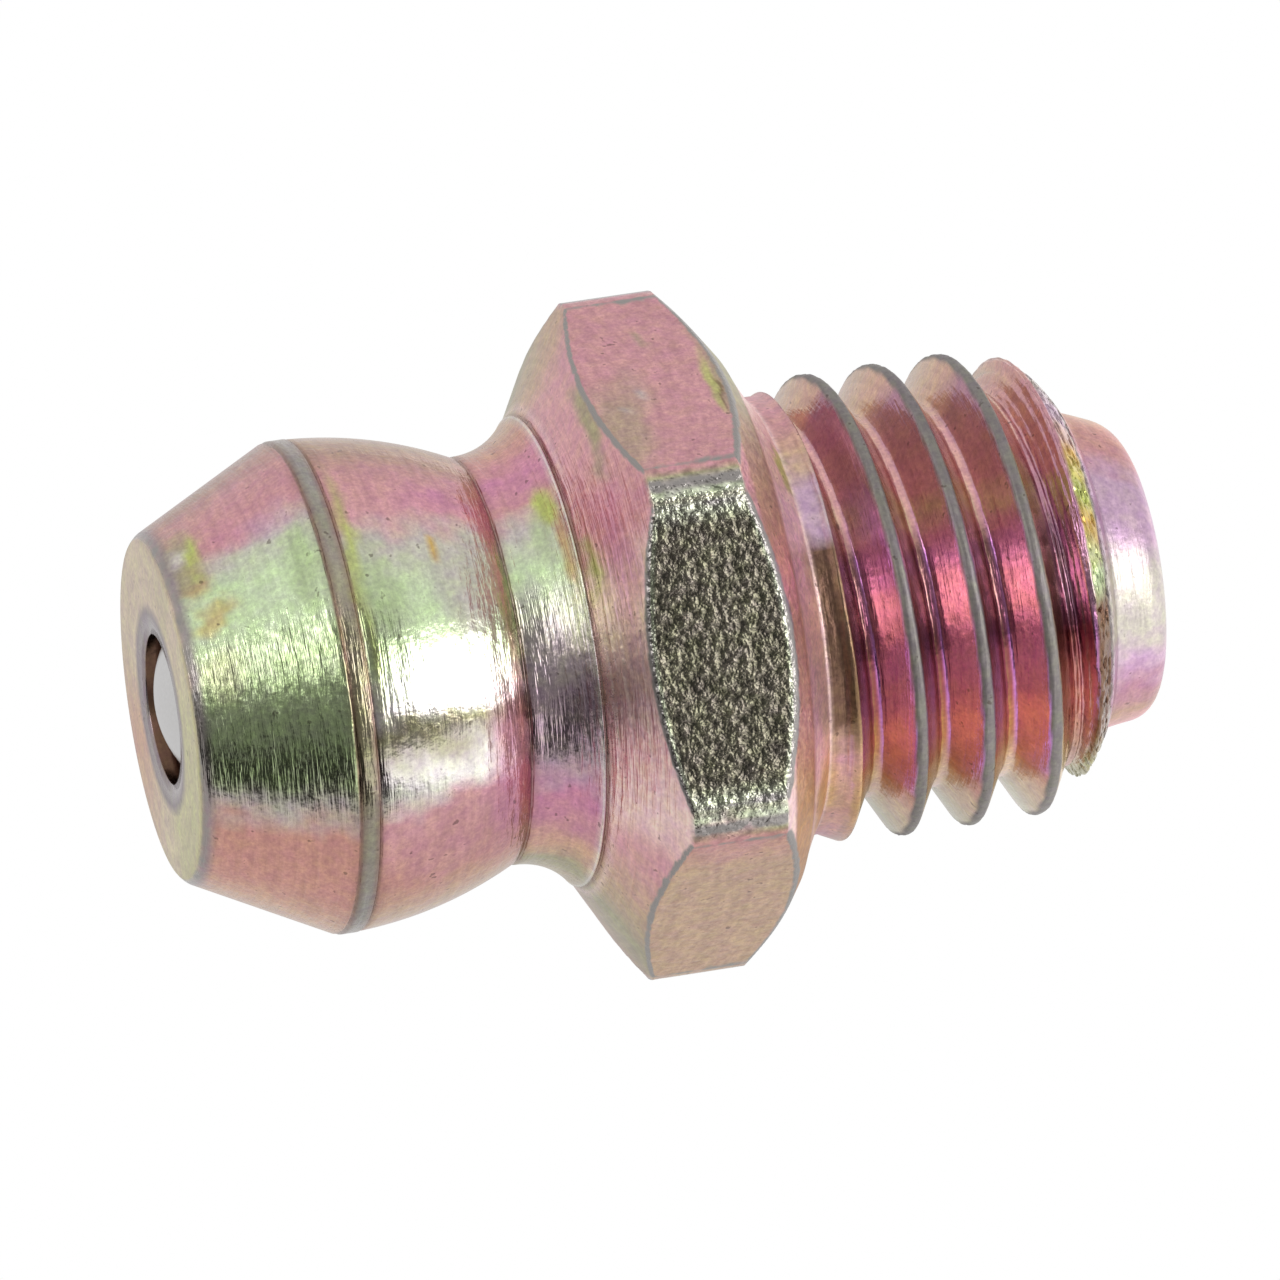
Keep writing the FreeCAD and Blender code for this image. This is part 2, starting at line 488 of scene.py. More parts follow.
def new_material(name: str) -> tuple[bpy.types.Material, Tree, bpy.types.Node]:
    """Make a node material with a metallic Principled shader and its output.

    Args:
        name: The material's name.

    Returns:
        The material, its tree and its shader, already linked to the output.
    """
    material = bpy.data.materials.new(name)
    material.use_nodes = True
    tree = material.node_tree
    tree.nodes.clear()
    shader = add_node(tree, "BsdfPrincipled", Metallic=1.0)
    add_node(tree, "OutputMaterial", Surface=shader.outputs["BSDF"])
    return material, tree, shader


@dataclass(frozen=True)
class PassivatedZinc:
    """Zinc plate on turned steel, with a yellow chromate film.

    The film is a few hundred nanometres thick and clear, so it shows interference colours in clouds:
    pink and magenta, then green, gold and tan, all over a bright metal. Turning has left fine rings round
    the axis under it, the drawn flats are grained, and rubbed edges show bare grey zinc.

    The mesh carries the film's colour, with painted highlights and painted shade laid into it in places, and
    four shares:
    wear, where the film may be rubbed through; rings and grain, how deep each relief is; and rough, the
    roughness.
    """

    roughness: float = 0.12
    ring_mm: float = 0.10
    grain_mm: float = 0.055
    cloud_mm: float = 0.22
    speck_mm: float = 0.13
    ring_relief_mm: float = 0.045
    grain_relief_mm: float = 0.012
    fleck_relief_mm: float = 0.055

    def dress(self, piece: bpy.types.Object) -> None:
        """Give the piece this finish, reading its colour and shares from its own attributes.

        Args:
            piece: A mesh with the attributes film, wear, rings, grain and rough.
        """
        material, tree, shader = new_material("passivated_zinc_plate")
        film = add_node(tree, "Attribute", {"attribute_name": "film"}).outputs["Color"]
        own = {
            name: add_node(tree, "Attribute", {"attribute_name": name}).outputs["Fac"]
            for name in ("wear", "rings", "grain", "rough")
        }
        coords = add_node(tree, "TexCoord").outputs["Object"]
        noise = {"rings": self.ring_noise(tree, coords)}
        textures = (
            ("grain", self.grain_mm, 3.0, 0.6),
            ("clouds", self.cloud_mm, 5.0, 0.65),
            ("specks", self.speck_mm, 2.0, 0.5),
        )
        for name, size_mm, detail, roughness in textures:
            noise[name] = add_node(
                tree, "TexNoise", Vector=coords, Scale=1.0 / (size_mm * MM), Detail=detail,
                Roughness=roughness,
            ).outputs["Fac"]
        tree.links.new(self.colour(tree, film, own, noise), shader.inputs["Base Color"])
        spread = add_node(
            tree, "Math", {"operation": "MULTIPLY_ADD"}, i0=noise["grain"], i1=0.10, i2=own["rough"]
        )
        tree.links.new(spread.outputs[0], shader.inputs["Roughness"])
        tree.links.new(self.relief(tree, own, noise), shader.inputs["Normal"])
        piece.data.materials.append(material)

    def ring_noise(self, tree: Tree, coords: Socket) -> Socket:
        """Give noise that changes along the turned outline and hardly at all round the axis.

        The noise is read at the place along the axis plus 0.7 of the radius, in ring spacings, and at
        the place across the axis in millimetres, so that each ring fades in and out over part of a turn.

        Args:
            tree: The material's tree.
            coords: The place on the object.

        Returns:
            The noise's value.
        """
        parts = add_node(tree, "SeparateXYZ", i0=coords)
        across = add_node(tree, "CombineXYZ", i1=parts.outputs[1], i2=parts.outputs[2]).outputs[0]
        radius = add_node(tree, "VectorMath", {"operation": "LENGTH"}, i0=across)
        along = add_node(
            tree, "Math", {"operation": "MULTIPLY_ADD"}, i0=radius.outputs["Value"], i1=0.7,
            i2=parts,
        )
        counted = add_node(tree, "Math", {"operation": "MULTIPLY"}, i0=along, i1=1.0 / (self.ring_mm * MM))
        place = add_node(tree, "CombineXYZ", i0=counted)
        slow = add_node(tree, "VectorMath", {"operation": "SCALE"}, i0=across, Scale=1.0 / MM)
        where = add_node(tree, "VectorMath", {"operation": "ADD"}, i0=place, i1=slow)
        return add_node(tree, "TexNoise", Vector=where, Scale=1.0, Detail=3.0, Roughness=0.6).outputs["Fac"]

    def colour(
        self, tree: Tree, film: Socket, own: dict[str, Socket],
        noise: dict[str, Socket],
    ) -> Socket:
        """Give the surface's colour: mottled where grained, broken up, pitted, and bare where worn.

        Args:
            tree: The material's tree.
            film: The film's colour.
            own: The mesh's shares, by name.
            noise: The noises, by name.

        Returns:
            The colour.
        """
        mottle = add_node(tree, "MapRange", i0=noise["specks"], i1=0.35, i2=0.65, i3=-0.45, i4=0.45)
        mottled = add_node(tree, "Math", {"operation": "MULTIPLY_ADD"}, i0=mottle, i1=own["grain"], i2=1.0)
        base = add_node(tree, "VectorMath", {"operation": "SCALE"}, i0=film, Scale=mottled)
        toned = self.tone(tree, base.outputs[0], noise)
        pits = add_node(tree, "MapRange", i0=noise["specks"], i1=0.69, i2=0.74, i3=0.0, i4=0.55)
        pitted = add_node(tree, "Mix", {"data_type": "RGBA"}, i0=pits, i6=toned, i7=rgba(Film.PIT.value))
        ragged = add_node(
            tree, "Math", {"operation": "MULTIPLY_ADD"}, i0=noise["clouds"], i1=0.9, i2=own["wear"]
        )
        worn = add_node(tree, "MapRange", i0=ragged, i1=0.85, i2=1.10, i3=0.0, i4=1.0)
        return add_node(
            tree, "Mix", {"data_type": "RGBA"}, i0=worn, i6=pitted.outputs[2],
            i7=rgba(Film.ZINC.value),
        ).outputs[2]

    def tone(
        self, tree: Tree, film: Socket, noise: dict[str, Socket]
    ) -> Socket:
        """Break the film's colour up by its clouds, its grain and the rings under it.

        The clouds also shift its hue a little, from pink to yellow-green, as the film's depth changes.

        Args:
            tree: The material's tree.
            film: The film's colour.
            noise: The noises, by name.

        Returns:
            The colour, up to an eighth lighter or darker from each.
        """
        level = None
        for name, depth in (("clouds", 0.10), ("grain", 0.12), ("rings", 0.10)):
            share = add_node(
                tree, "MapRange", i0=noise[name], i1=0.3, i2=0.7, i3=1.0 - depth, i4=1.0 + depth
            )
            level = share if level is None else add_node(
                tree, "Math", {"operation": "MULTIPLY"}, i0=level, i1=share
            )
        thick = add_node(tree, "MapRange", i0=noise["clouds"], i1=0.35, i2=0.65, i3=0.0, i4=1.0)
        hue = add_node(
            tree, "Mix", {"data_type": "RGBA"}, i0=thick, i6=(1.04, 0.98, 1.07, 1.0),
            i7=(0.98, 1.02, 0.89, 1.0),
        )
        shifted = add_node(tree, "VectorMath", {"operation": "MULTIPLY"}, i0=film, i1=hue.outputs[2])
        return add_node(tree, "VectorMath", {"operation": "SCALE"}, i0=shifted, Scale=level).outputs[0]

    def relief(
        self, tree: Tree, own: dict[str, Socket],
        noise: dict[str, Socket],
    ) -> Socket:
        """Give the surface's normal: turned rings, then fine grain, then the larger flecks of the flats.

        Args:
            tree: The material's tree.
            own: The mesh's shares, by name.
            noise: The noises, by name.

        Returns:
            The normal.
        """
        rings = add_node(
            tree, "Bump", Strength=own["rings"], Distance=self.ring_relief_mm * MM,
            Height=noise["rings"],
        )
        grain = add_node(
            tree, "Bump", Strength=own["grain"], Distance=self.grain_relief_mm * MM,
            Height=noise["grain"], Normal=rings,
        )
        return add_node(
            tree, "Bump", Strength=own["grain"], Distance=self.fleck_relief_mm * MM,
            Height=noise["specks"], Normal=grain,
        ).outputs[0]


@dataclass(frozen=True)
class BearingSteel:
    """Ground and polished bearing steel, bare and bright, with a light haze of fine scratches."""

    colour: str = "e4e3e3"
    haze_colour: str = "cfcdcc"
    roughness: float = 0.30
    scratch_mm: float = 0.05
    relief_mm: float = 0.002

    def dress(self, piece: bpy.types.Object) -> None:
        """Give the piece this finish."""
        material, tree, shader = new_material("bearing_steel")
        coords = add_node(tree, "TexCoord").outputs["Object"]
        haze = add_node(
            tree, "TexNoise", i0=coords, Scale=1.0 / (self.scratch_mm * MM), Detail=4.0,
            Roughness=0.6,
        ).outputs["Fac"]
        tone = add_node(
            tree, "Mix", {"data_type": "RGBA"}, i0=haze, i6=rgba(self.haze_colour),
            i7=rgba(self.colour),
        )
        spread = add_node(tree, "Math", {"operation": "MULTIPLY_ADD"}, i0=haze, i1=0.16, i2=self.roughness)
        bump = add_node(tree, "Bump", Strength=0.2, Distance=self.relief_mm * MM, Height=haze)
        tree.links.new(tone.outputs[2], shader.inputs["Base Color"])
        tree.links.new(spread.outputs[0], shader.inputs["Roughness"])
        tree.links.new(bump.outputs[0], shader.inputs["Normal"])
        piece.data.materials.append(material)


@dataclass(frozen=True)
class SpringWire:
    """Bright drawn spring wire, grey, mottled finely where the die dragged on it."""

    colour: str = "8e8f92"
    dull_colour: str = "6f7073"
    roughness: float = 0.33
    line_mm: float = 0.03
    relief_mm: float = 0.002

    def dress(self, piece: bpy.types.Object) -> None:
        """Give the piece this finish."""
        material, tree, shader = new_material("spring_wire")
        coords = add_node(tree, "TexCoord").outputs["Object"]
        lines = add_node(
            tree, "TexNoise", i0=coords, Scale=1.0 / (self.line_mm * MM), Detail=2.0
        ).outputs["Fac"]
        tone = add_node(
            tree, "Mix", {"data_type": "RGBA"}, i0=lines, i6=rgba(self.dull_colour),
            i7=rgba(self.colour),
        )
        bump = add_node(tree, "Bump", Strength=0.2, Distance=self.relief_mm * MM, Height=lines)
        tree.links.new(tone.outputs[2], shader.inputs["Base Color"])
        shader.inputs["Roughness"].default_value = self.roughness
        tree.links.new(bump.outputs[0], shader.inputs["Normal"])
        piece.data.materials.append(material)


@dataclass(frozen=True)
class Corner:
    """A corner of a turned outline, and how the stretch from it to the next corner runs.

    The stretch is cut into its number of steps. With a rise, it is an arc that stands off its chord by
    that much, outwards where positive.
    """

    x: float
    radius: float
    steps: int = 1
    rise: float = 0.0


def outline_points(corners: list[Corner]) -> np.ndarray:
    """Follow a turned outline from its first corner to its last.

    Each stretch is its chord plus a parabola over it: rise times 4 t (1 - t), square to the chord.

    Args:
        corners: The outline's corners.

    Returns:
        Rows of (place along the axis, radius), without the last corner.
    """
    stretches = []
    for corner, after in zip(corners, corners[1:]):
        t = np.linspace(0, 1, corner.steps, endpoint=False)[:, None]
        start = np.array([corner.x, corner.radius])
        chord = np.array([after.x, after.radius]) - start
        outward = np.array([-chord[1], chord[0]]) / np.hypot(*chord)
        stretches.append(start + chord * t + outward * corner.rise * 4 * t * (1 - t))
    return np.concatenate(stretches)


@dataclass(frozen=True)
class Skin:
    """The body's grid of points: places along the axis, radii, clock angles, and which are outside.

    Clock angles are in degrees from the top, turning towards the front.
    """

    x: np.ndarray
    radius: np.ndarray
    clock: np.ndarray
    outside: np.ndarray


def from_flat(clock: np.ndarray) -> np.ndarray:
    """Give the angle in radians from the middle of the nearest of the hexagon's flats."""
    return np.radians((clock + 30.0) % 60.0 - 30.0)


@dataclass
class TurnedBody:
    """The one-piece steel body: head, neck, hexagon, threaded shank, nose and the passage through it.

    Lengths are in millimetres along the axis from the hexagon's seat plane, and the names follow the
    solid's. The surface is a grid: rows follow the turned outline all the way round its section, and
    columns turn about the axis.
    """

    face_x: float
    end_x: float
    face_radius: float = 2.32
    ridge_radius: float = 3.24
    neck_radius: float = 2.68
    flare_radius: float = 3.11
    corner_radius: float = 4.469
    half_flats: float = INCH * 5 / 32
    seat_radius: float = 3.68
    undercut_radius: float = 2.90
    crest_radius: float = 3.09
    nose_radius: float = 2.13
    nose_taper: float = 0.11
    nose_end_radius: float = 1.58
    lip_hole_radius: float = 1.00
    bore_radius: float = 1.60
    mouth_radius: float = 0.99
    rim_radius: float = 1.26
    ridge_front_x: float = -5.89
    ridge_back_x: float = -5.64
    neck_x: float = -3.48
    flare_x: float = -2.59
    hex_front_x: float = -1.79
    hex_rear_x: float = -0.57
    seat_end_x: float = 0.44
    undercut_end_x: float = 0.65
    thread_in_x: float = 1.04
    thread_end_x: float = 3.85
    nose_x: float = 4.55
    lip_x: float = 4.95
    pitch: float = INCH / 28
    thread_depth: float = 0.57
    thread_x: float = 0.78
    thread_clock: float = -70.0
    mouth_depth: float = 0.27
    rim_depth: float = 0.03
    groove_depth: float = 0.035
    edge: float = 0.07
    crest_edge: float = 0.05
    droop: float = 0.08
    droop_clock: float = 146.6
    front_flat_clock: float = 60.0
    die_ridge_pitch: float = 0.095
    torn_crests: Span = Span(0.9, 1.0, 3.9, 4.0)
    die_ridges: Span = Span(3.66, 3.74, 4.08, 4.16)
    ragged_lead: Span = Span(4.06, 4.14, 4.40, 4.46)
    nicked_edge: Span = Span(-2.3, -2.1, -1.7, -1.5)
    chips: tuple[Chip, ...] = (Chip(-2.06, 99.0, 0.07), Chip(-2.10, 106.0, 0.05), Chip(-1.98, 93.5, 0.05))
    finish: PassivatedZinc = field(default_factory=PassivatedZinc)

    def columns(self) -> np.ndarray:
        """Give the clock angles of the columns, closer together at the hexagon's corners.

        Each sixth runs from one flat's middle to the next. The step is 1 less 0.72 times a bell about
        the corner, scaled to fill the sixth.

        Returns:
            Angles in degrees from the top towards the front, from 0 up to 360.
        """
        fine = np.linspace(0, 1, 49)
        widths = 1.0 - 0.72 * bell(fine, 0.5, 0.16)
        steps = np.concatenate([[0], np.cumsum((widths[1:] + widths[:-1]) / 2)])
        sixth = 60 * steps / steps[-1]
        return (np.arange(6)[:, None] * 60 + sixth[None, :-1]).ravel()

    def outer_outline(self) -> list[Corner]:
        """Give the outline of the outside, from the mouth's rim to the hole in the rolled lip."""
        face, edge = self.face_x, 0.10
        front, back, neck, flare = self.ridge_front_x, self.ridge_back_x, self.neck_x, self.flare_x
        ridge, throat, shoulder = self.ridge_radius, self.neck_radius, self.flare_radius
        cut = self.groove_depth
        return [
            Corner(face, self.rim_radius, 6),
            Corner(face, self.face_radius - edge, 4, 0.008),
            Corner(face + edge, self.face_radius, 20),
            Corner(front - 0.04, ridge - 0.02, 2),
            Corner(front, ridge - cut, 2),
            Corner(front + 0.03, ridge, 3),
            Corner(back - 0.02, ridge, 2),
            Corner(back + 0.015, ridge - cut, 2),
            Corner(back + 0.05, ridge - 0.01, 22, 0.11),
            Corner(neck - 0.03, throat + 0.004, 2),
            Corner(neck, throat - cut, 2),
            Corner(neck + 0.03, throat + 0.01, 13, -0.10),
            Corner(flare - 0.06, shoulder - 0.04, 2),
            Corner(flare - 0.03, shoulder, 2),
            Corner(flare, shoulder - cut, 2),
            Corner(flare + 0.035, shoulder + 0.03, 28),
            Corner(self.hex_front_x, self.corner_radius, 12),
            Corner(self.hex_rear_x, self.corner_radius, 22),
            Corner(0.0, self.seat_radius, 12, -0.02),
            Corner(self.seat_end_x, self.undercut_radius, 6),
            Corner(self.undercut_end_x, self.undercut_radius, 10),
            Corner(self.thread_in_x, self.crest_radius, 90),
            Corner(self.thread_end_x - 0.1, self.crest_radius, 38, 0.10),
            Corner(self.nose_x, self.nose_radius, 8),
            Corner(self.lip_x, self.nose_radius - self.nose_taper, 9, 0.11),
            Corner(self.end_x, self.nose_end_radius, 4),
            Corner(self.end_x, self.lip_hole_radius),
        ]

    def inner_outline(self) -> list[Corner]:
        """Give the outline of the passage, from the hole in the rolled lip back to the mouth's rim."""
        mouth_x, rim_x = self.face_x + self.mouth_depth, self.face_x + self.rim_depth
        return [
            Corner(self.end_x, self.lip_hole_radius, 2),
            Corner(self.lip_x, self.lip_hole_radius, 2),
            Corner(self.lip_x, self.bore_radius, 4),
            Corner(mouth_x + self.bore_radius - self.mouth_radius, self.bore_radius, 3),
            Corner(mouth_x, self.mouth_radius, 2),
            Corner(rim_x + 0.02, self.mouth_radius),
            Corner(rim_x, self.mouth_radius, 2),
            Corner(self.face_x, self.rim_radius),
        ]

    def thread_phase(self, x: np.ndarray, clock: np.ndarray) -> np.ndarray:
        """Give the distance along the axis from the nearest groove's middle, signed, in millimetres."""
        turns = (x - self.thread_x) / self.pitch - (clock - self.thread_clock) / 360.0
        return (turns - np.round(turns)) * self.pitch

    def thread_radius(self, skin: Skin) -> np.ndarray:
        """Give the radius that the groove leaves, which is large where the groove doesn't reach.

        The groove is a truncated V: its floor is flat and its flanks stand 30 degrees off square, so the
        radius is the root's radius plus the distance past the floor's edge over the tangent of 30.
        """
        slope = math.tan(math.radians(30))
        root = self.crest_radius - self.thread_depth
        half_root = self.pitch * 7 / 16 - self.thread_depth * slope
        distance = np.abs(self.thread_phase(skin.x, skin.clock))
        flank = root + (distance - half_root) / slope
        run_out = smooth(0.02, -0.16, (skin.x - self.thread_x) / self.pitch)
        return np.maximum(flank, root) + 2.0 * run_out

    def in_hexagon(self, skin: Skin) -> np.ndarray:
        """Tell which points lie on the collar that the hexagon is cut from."""
        return skin.outside & (skin.x > self.flare_x) & (skin.x < self.seat_end_x)

    def radii(self, skin: Skin) -> np.ndarray:
        """Cut the hexagon, the thread and the marks into the turned outline.

        Args:
            skin: The grid, with the turned outline's radii.

        Returns:
            The radii of the finished body.
        """
        flats = self.half_flats / np.cos(from_flat(skin.clock))
        hexed = np.where(self.in_hexagon(skin), soft_min(skin.radius, flats, self.edge), skin.radius)
        in_thread = skin.outside & (skin.x > 0.30) & (skin.x < self.nose_x + 0.05)
        threaded = soft_min(hexed, self.thread_radius(skin), self.crest_edge)
        return np.where(in_thread, threaded, hexed) - self.marks(skin)

    def marks(self, skin: Skin) -> np.ndarray:
        """Give the depth of the marks that making and handling left, in millimetres.

        They are the torn crests of the thread, the die's fine ridges near its end, the ragged lead past
        them, and the nicks and chips in the hexagon's front edge.
        """
        x, clock, cells = skin.x, skin.clock, 240
        torn = value_noise(x * 14, clock / 360 * cells, cells, 31)
        rough = value_noise(x * 30, clock / 360 * cells, cells, 32)
        on_crest = self.torn_crests.share(x) * smooth(0.34, 0.42, np.abs(self.thread_phase(x, clock)))
        turns = x / self.die_ridge_pitch - clock / 360 * round(self.pitch / self.die_ridge_pitch)
        depth = 0.014 * on_crest * np.clip(torn + 0.3, 0, 1)
        depth += 0.026 * self.die_ridges.share(x) * (1 + np.sin(2 * math.pi * turns))
        depth += 0.060 * self.ragged_lead.share(x) * np.clip(rough + 0.2, 0, 1)
        depth += 0.012 * self.nicked_edge.share(x) * np.clip(rough, 0, 1)
        depth += sum(chip.cut(x, clock) for chip in self.chips)
        return depth * skin.outside

    def places(self, skin: Skin) -> np.ndarray:
        """Place the grid's points, with the small faults of form that the real one has.

        The hexagon's rear is up to 0.04 mm out of square, as it was cut off, and the rolled end sits a
        little off the axis, downwards and to the front.

        Args:
            skin: The grid.

        Returns:
            Rows of x, y, z in millimetres.
        """
        rear = Span(-1.3, -0.57, 0.30, 0.75).share(skin.x) * skin.outside
        x = skin.x - rear * (0.01 + 0.03 * np.cos(np.radians(skin.clock + 33.0)))
        turn, off = np.radians(skin.clock), math.radians(self.droop_clock)
        droop = self.droop * smooth(self.nose_x, self.end_x, skin.x)
        across = -skin.radius * np.sin(turn) - droop * math.sin(off)
        height = skin.radius * np.cos(turn) + droop * math.cos(off)
        return np.stack([x, across, height], -1).reshape(-1, 3)

    def build(self) -> bpy.types.Object:
        """Make the body's mesh with its finish, in place of the solid.

        Returns:
            The finished piece.
        """
        outer, inner = outline_points(self.outer_outline()), outline_points(self.inner_outline())
        profile = np.concatenate([outer, inner])
        x, clock = np.meshgrid(profile[:, 0], self.columns(), indexing="ij")
        turned = np.broadcast_to(profile[:, 1:], x.shape)
        outside = np.broadcast_to(np.arange(len(profile))[:, None] < len(outer), x.shape)
        skin = Skin(x, self.radii(Skin(x, turned, clock, outside)), clock, outside)
        piece = add_mesh("nipple_body", self.places(skin), grid_faces(*x.shape, True))
        self.paint(piece, skin)
        self.finish.dress(piece)
        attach(piece, Body.NIPPLE.value)
        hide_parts("body")
        return piece

    def zones(self) -> list[Zone]:
        """Give each length's film colours round the axis, from the face to the nose."""
        f, far = Film, 0.5
        return [
            Zone(self.face_x - far, self.face_x + 0.05, [
                (-30, f.STRAW), (25, f.STRAW), (60, f.SAND), (140, f.SAND), (175, f.STRAW), (225, f.PEACH),
                (265, f.STRAW),
            ]),
            Zone(self.face_x + 0.05, self.ridge_front_x, [
                (-30, f.BROWN), (-12, f.ROSE), (6, f.ROSE), (13, f.PEARL), (22, f.MINT), (36, f.MINT),
                (45, f.LEAF), (78, f.LEAF), (86, f.PEARL), (96, f.SALMON), (118, f.SALMON), (132, f.PEACH),
                (165, f.TAN), (200, f.ROSE), (235, f.MINT), (265, f.LEAF), (300, f.MAGENTA),
            ]),
            Zone(self.ridge_front_x, self.ridge_back_x, [
                (0, f.ZINC), (60, f.OLIVE), (120, f.ZINC), (240, f.TAN),
            ]),
            # Painted light on the back of the head: the near-white stops at 60 to 64 and 80 to 84 are painted
            # highlights, and the olive at 69 is a painted dark streak between them.
            Zone(self.ridge_back_x, self.neck_x, [
                (-30, f.TAN), (-12, f.BROWN), (0, f.ROSE), (14, f.BLUSH), (22, f.PEARL), (36, f.MINT),
                (50, f.MINT), (60, f.PAINTED_HIGHLIGHT), (64, f.PAINTED_HIGHLIGHT), (69, f.OLIVE), (75, f.PEARL), (80, f.PAINTED_HIGHLIGHT),
                (84, f.PAINTED_HIGHLIGHT), (91, f.BLUSH), (112, f.SALMON), (130, f.TAN), (165, f.SALMON), (205, f.LILAC),
                (240, f.MINT), (275, f.PEARL), (305, f.ROSE),
            ]),
            Zone(self.neck_x, self.flare_x, [
                (-35, f.TAN), (-15, f.SALMON), (0, f.MAGENTA), (12, f.ROSE), (20, f.PEARL), (34, f.MINT),
                (50, f.PEARL), (66, f.MAUVE), (84, f.MAUVE), (98, f.MAGENTA), (112, f.ROSE), (121, f.PEACH),
                (131, f.OLIVE), (170, f.TAN), (210, f.MAGENTA), (250, f.LILAC), (290, f.GOLD),
            ]),
            Zone(self.flare_x, self.hex_rear_x + 0.2, [
                (-50, f.OLIVE), (-30, f.TAN), (-14, f.BLUSH), (32, f.BLUSH), (46, f.PETAL), (92, f.PETAL),
                (106, f.BLUSH), (122, f.TAN), (140, f.OLIVE), (190, f.ROSE), (240, f.BLUSH),
                (280, f.SALMON),
            ]),
            Zone(self.hex_rear_x + 0.2, 0.05, [
                (-30, f.OLIVE), (0, f.OLIVE), (22, f.BROWN), (40, f.PEACH), (76, f.PEACH), (92, f.ORANGE),
                (130, f.ORANGE), (180, f.BROWN), (230, f.SALMON), (290, f.ROSE),
            ]),
            Zone(0.05, self.seat_end_x, [
                (-30, f.ROSE), (0, f.PETAL), (96, f.PETAL), (112, f.PEACH), (135, f.ROSE), (190, f.LILAC),
                (240, f.MAGENTA), (300, f.GOLD),
            ]),
            # Painted shade: the umber from 38 to 84 darkens the undercut's recess on its front side.
            Zone(self.seat_end_x, self.thread_in_x, [
                (-30, f.BLUSH), (-5, f.ROSE), (10, f.TAN), (24, f.LILAC), (32, f.LILAC), (38, f.UMBER),
                (84, f.UMBER), (91, f.BROWN), (96, f.BLUSH), (112, f.PEACH), (135, f.ROSE), (190, f.LILAC),
                (240, f.MAGENTA), (300, f.GOLD),
            ]),
            Zone(self.nose_x, self.end_x + far, [
                (-30, f.TAN), (-8, f.SALMON), (8, f.ROSE), (22, f.LILAC), (42, f.LILAC), (56, f.PEARL),
                (80, f.PEARL), (92, f.LILAC), (106, f.WINE), (122, f.BROWN), (135, f.ROSE), (180, f.PEACH),
                (225, f.LILAC), (275, f.MINT), (310, f.ROSE),
            ]),
        ]

    def flat_run(self) -> Run:
        """Give the film colours of the hexagon's flats, whose corners are at 30, 90 and so on."""
        f = Film
        return [
            # Painted light on the front flat: the pearl at its corners at 30 and 90 and the pale glare stops
            # just inside them are a painted highlight along its edges. Its dark moss is partly the film's
            # olive and partly painted shade.
            (-30, f.ROSE), (27.4, f.ROSE), (28.4, f.OLIVE), (30, f.PEARL), (31.5, f.PAINTED_GLARE), (34, f.MOSS),
            (86, f.MOSS), (88.5, f.PAINTED_GLARE), (90, f.PEARL), (91.8, f.OLIVE), (92.8, f.SALMON), (104, f.TAN),
            (148, f.TAN), (152, f.ROSE), (208, f.MAGENTA), (212, f.PEACH), (268, f.TAN), (272, f.LILAC),
            (328, f.ROSE),
        ]

    def blooms(self) -> list[Bloom]:
        """Give the clouds that stand out from their surroundings."""
        f = Film
        return [
            # Front cone: olive patch by the face with an orange lower edge, and magenta above the green
            Bloom(f.ORANGE, -7.44, 17, 0.24, 6, 0.75), Bloom(f.OLIVE, -7.52, 4, 0.26, 15),
            Bloom(f.LIME, -7.34, 4, 0.10, 10), Bloom(f.PEARL, -7.55, 3, 0.12, 6),
            Bloom(f.MAGENTA, -6.85, 5, 0.42, 7, 0.35), Bloom(f.LILAC, -6.45, 9, 0.34, 6, 0.35),
            Bloom(f.LEAF, -6.15, 26, 0.18, 12, 0.8), Bloom(f.GOLD, -7.3, 30, 0.3, 4, 0.6),
            Bloom(f.OLIVE, -7.35, 46, 0.3, 9, 0.5),
            # Back of the head: green by the ridge, and pink towards the neck
            Bloom(f.LIME, -5.50, 32, 0.10, 30, 0.9), Bloom(f.LEAF, -5.25, 38, 0.28, 16, 0.8),
            Bloom(f.GOLD, -4.42, 24, 0.08, 3), Bloom(f.PEARL, -4.1, 36, 0.42, 14, 0.8),
            Bloom(f.MAGENTA, -4.25, 9, 0.5, 6, 0.7), Bloom(f.MAGENTA, -3.75, 88, 0.35, 26, 0.75),
            Bloom(f.ROSE, -4.6, 104, 0.6, 10, 0.7),
            # Flare: orange by its end, with a yellow-green spot and a green one before it
            Bloom(f.ORANGE, -2.70, 28, 0.07, 14, 0.75), Bloom(f.LIME, -2.82, 16, 0.11, 6),
            Bloom(f.LEAF, -2.95, 24, 0.12, 8, 0.7),
            # Collar: olive by the hexagon's edge
            Bloom(f.OLIVE, -2.16, 8, 0.09, 12, 0.9), Bloom(f.LIME, -2.50, 38, 0.09, 6, 0.8),
            Bloom(f.MAGENTA, -2.2, 42, 0.14, 18, 0.6),
            # Rear of the hexagon and the seat
            Bloom(f.LIME, -0.36, 2, 0.10, 16, 0.9), Bloom(f.LIME, 0.40, 17, 0.07, 8, 0.9),
            Bloom(f.GOLD, 0.36, 104, 0.2, 14, 0.7),
        ]

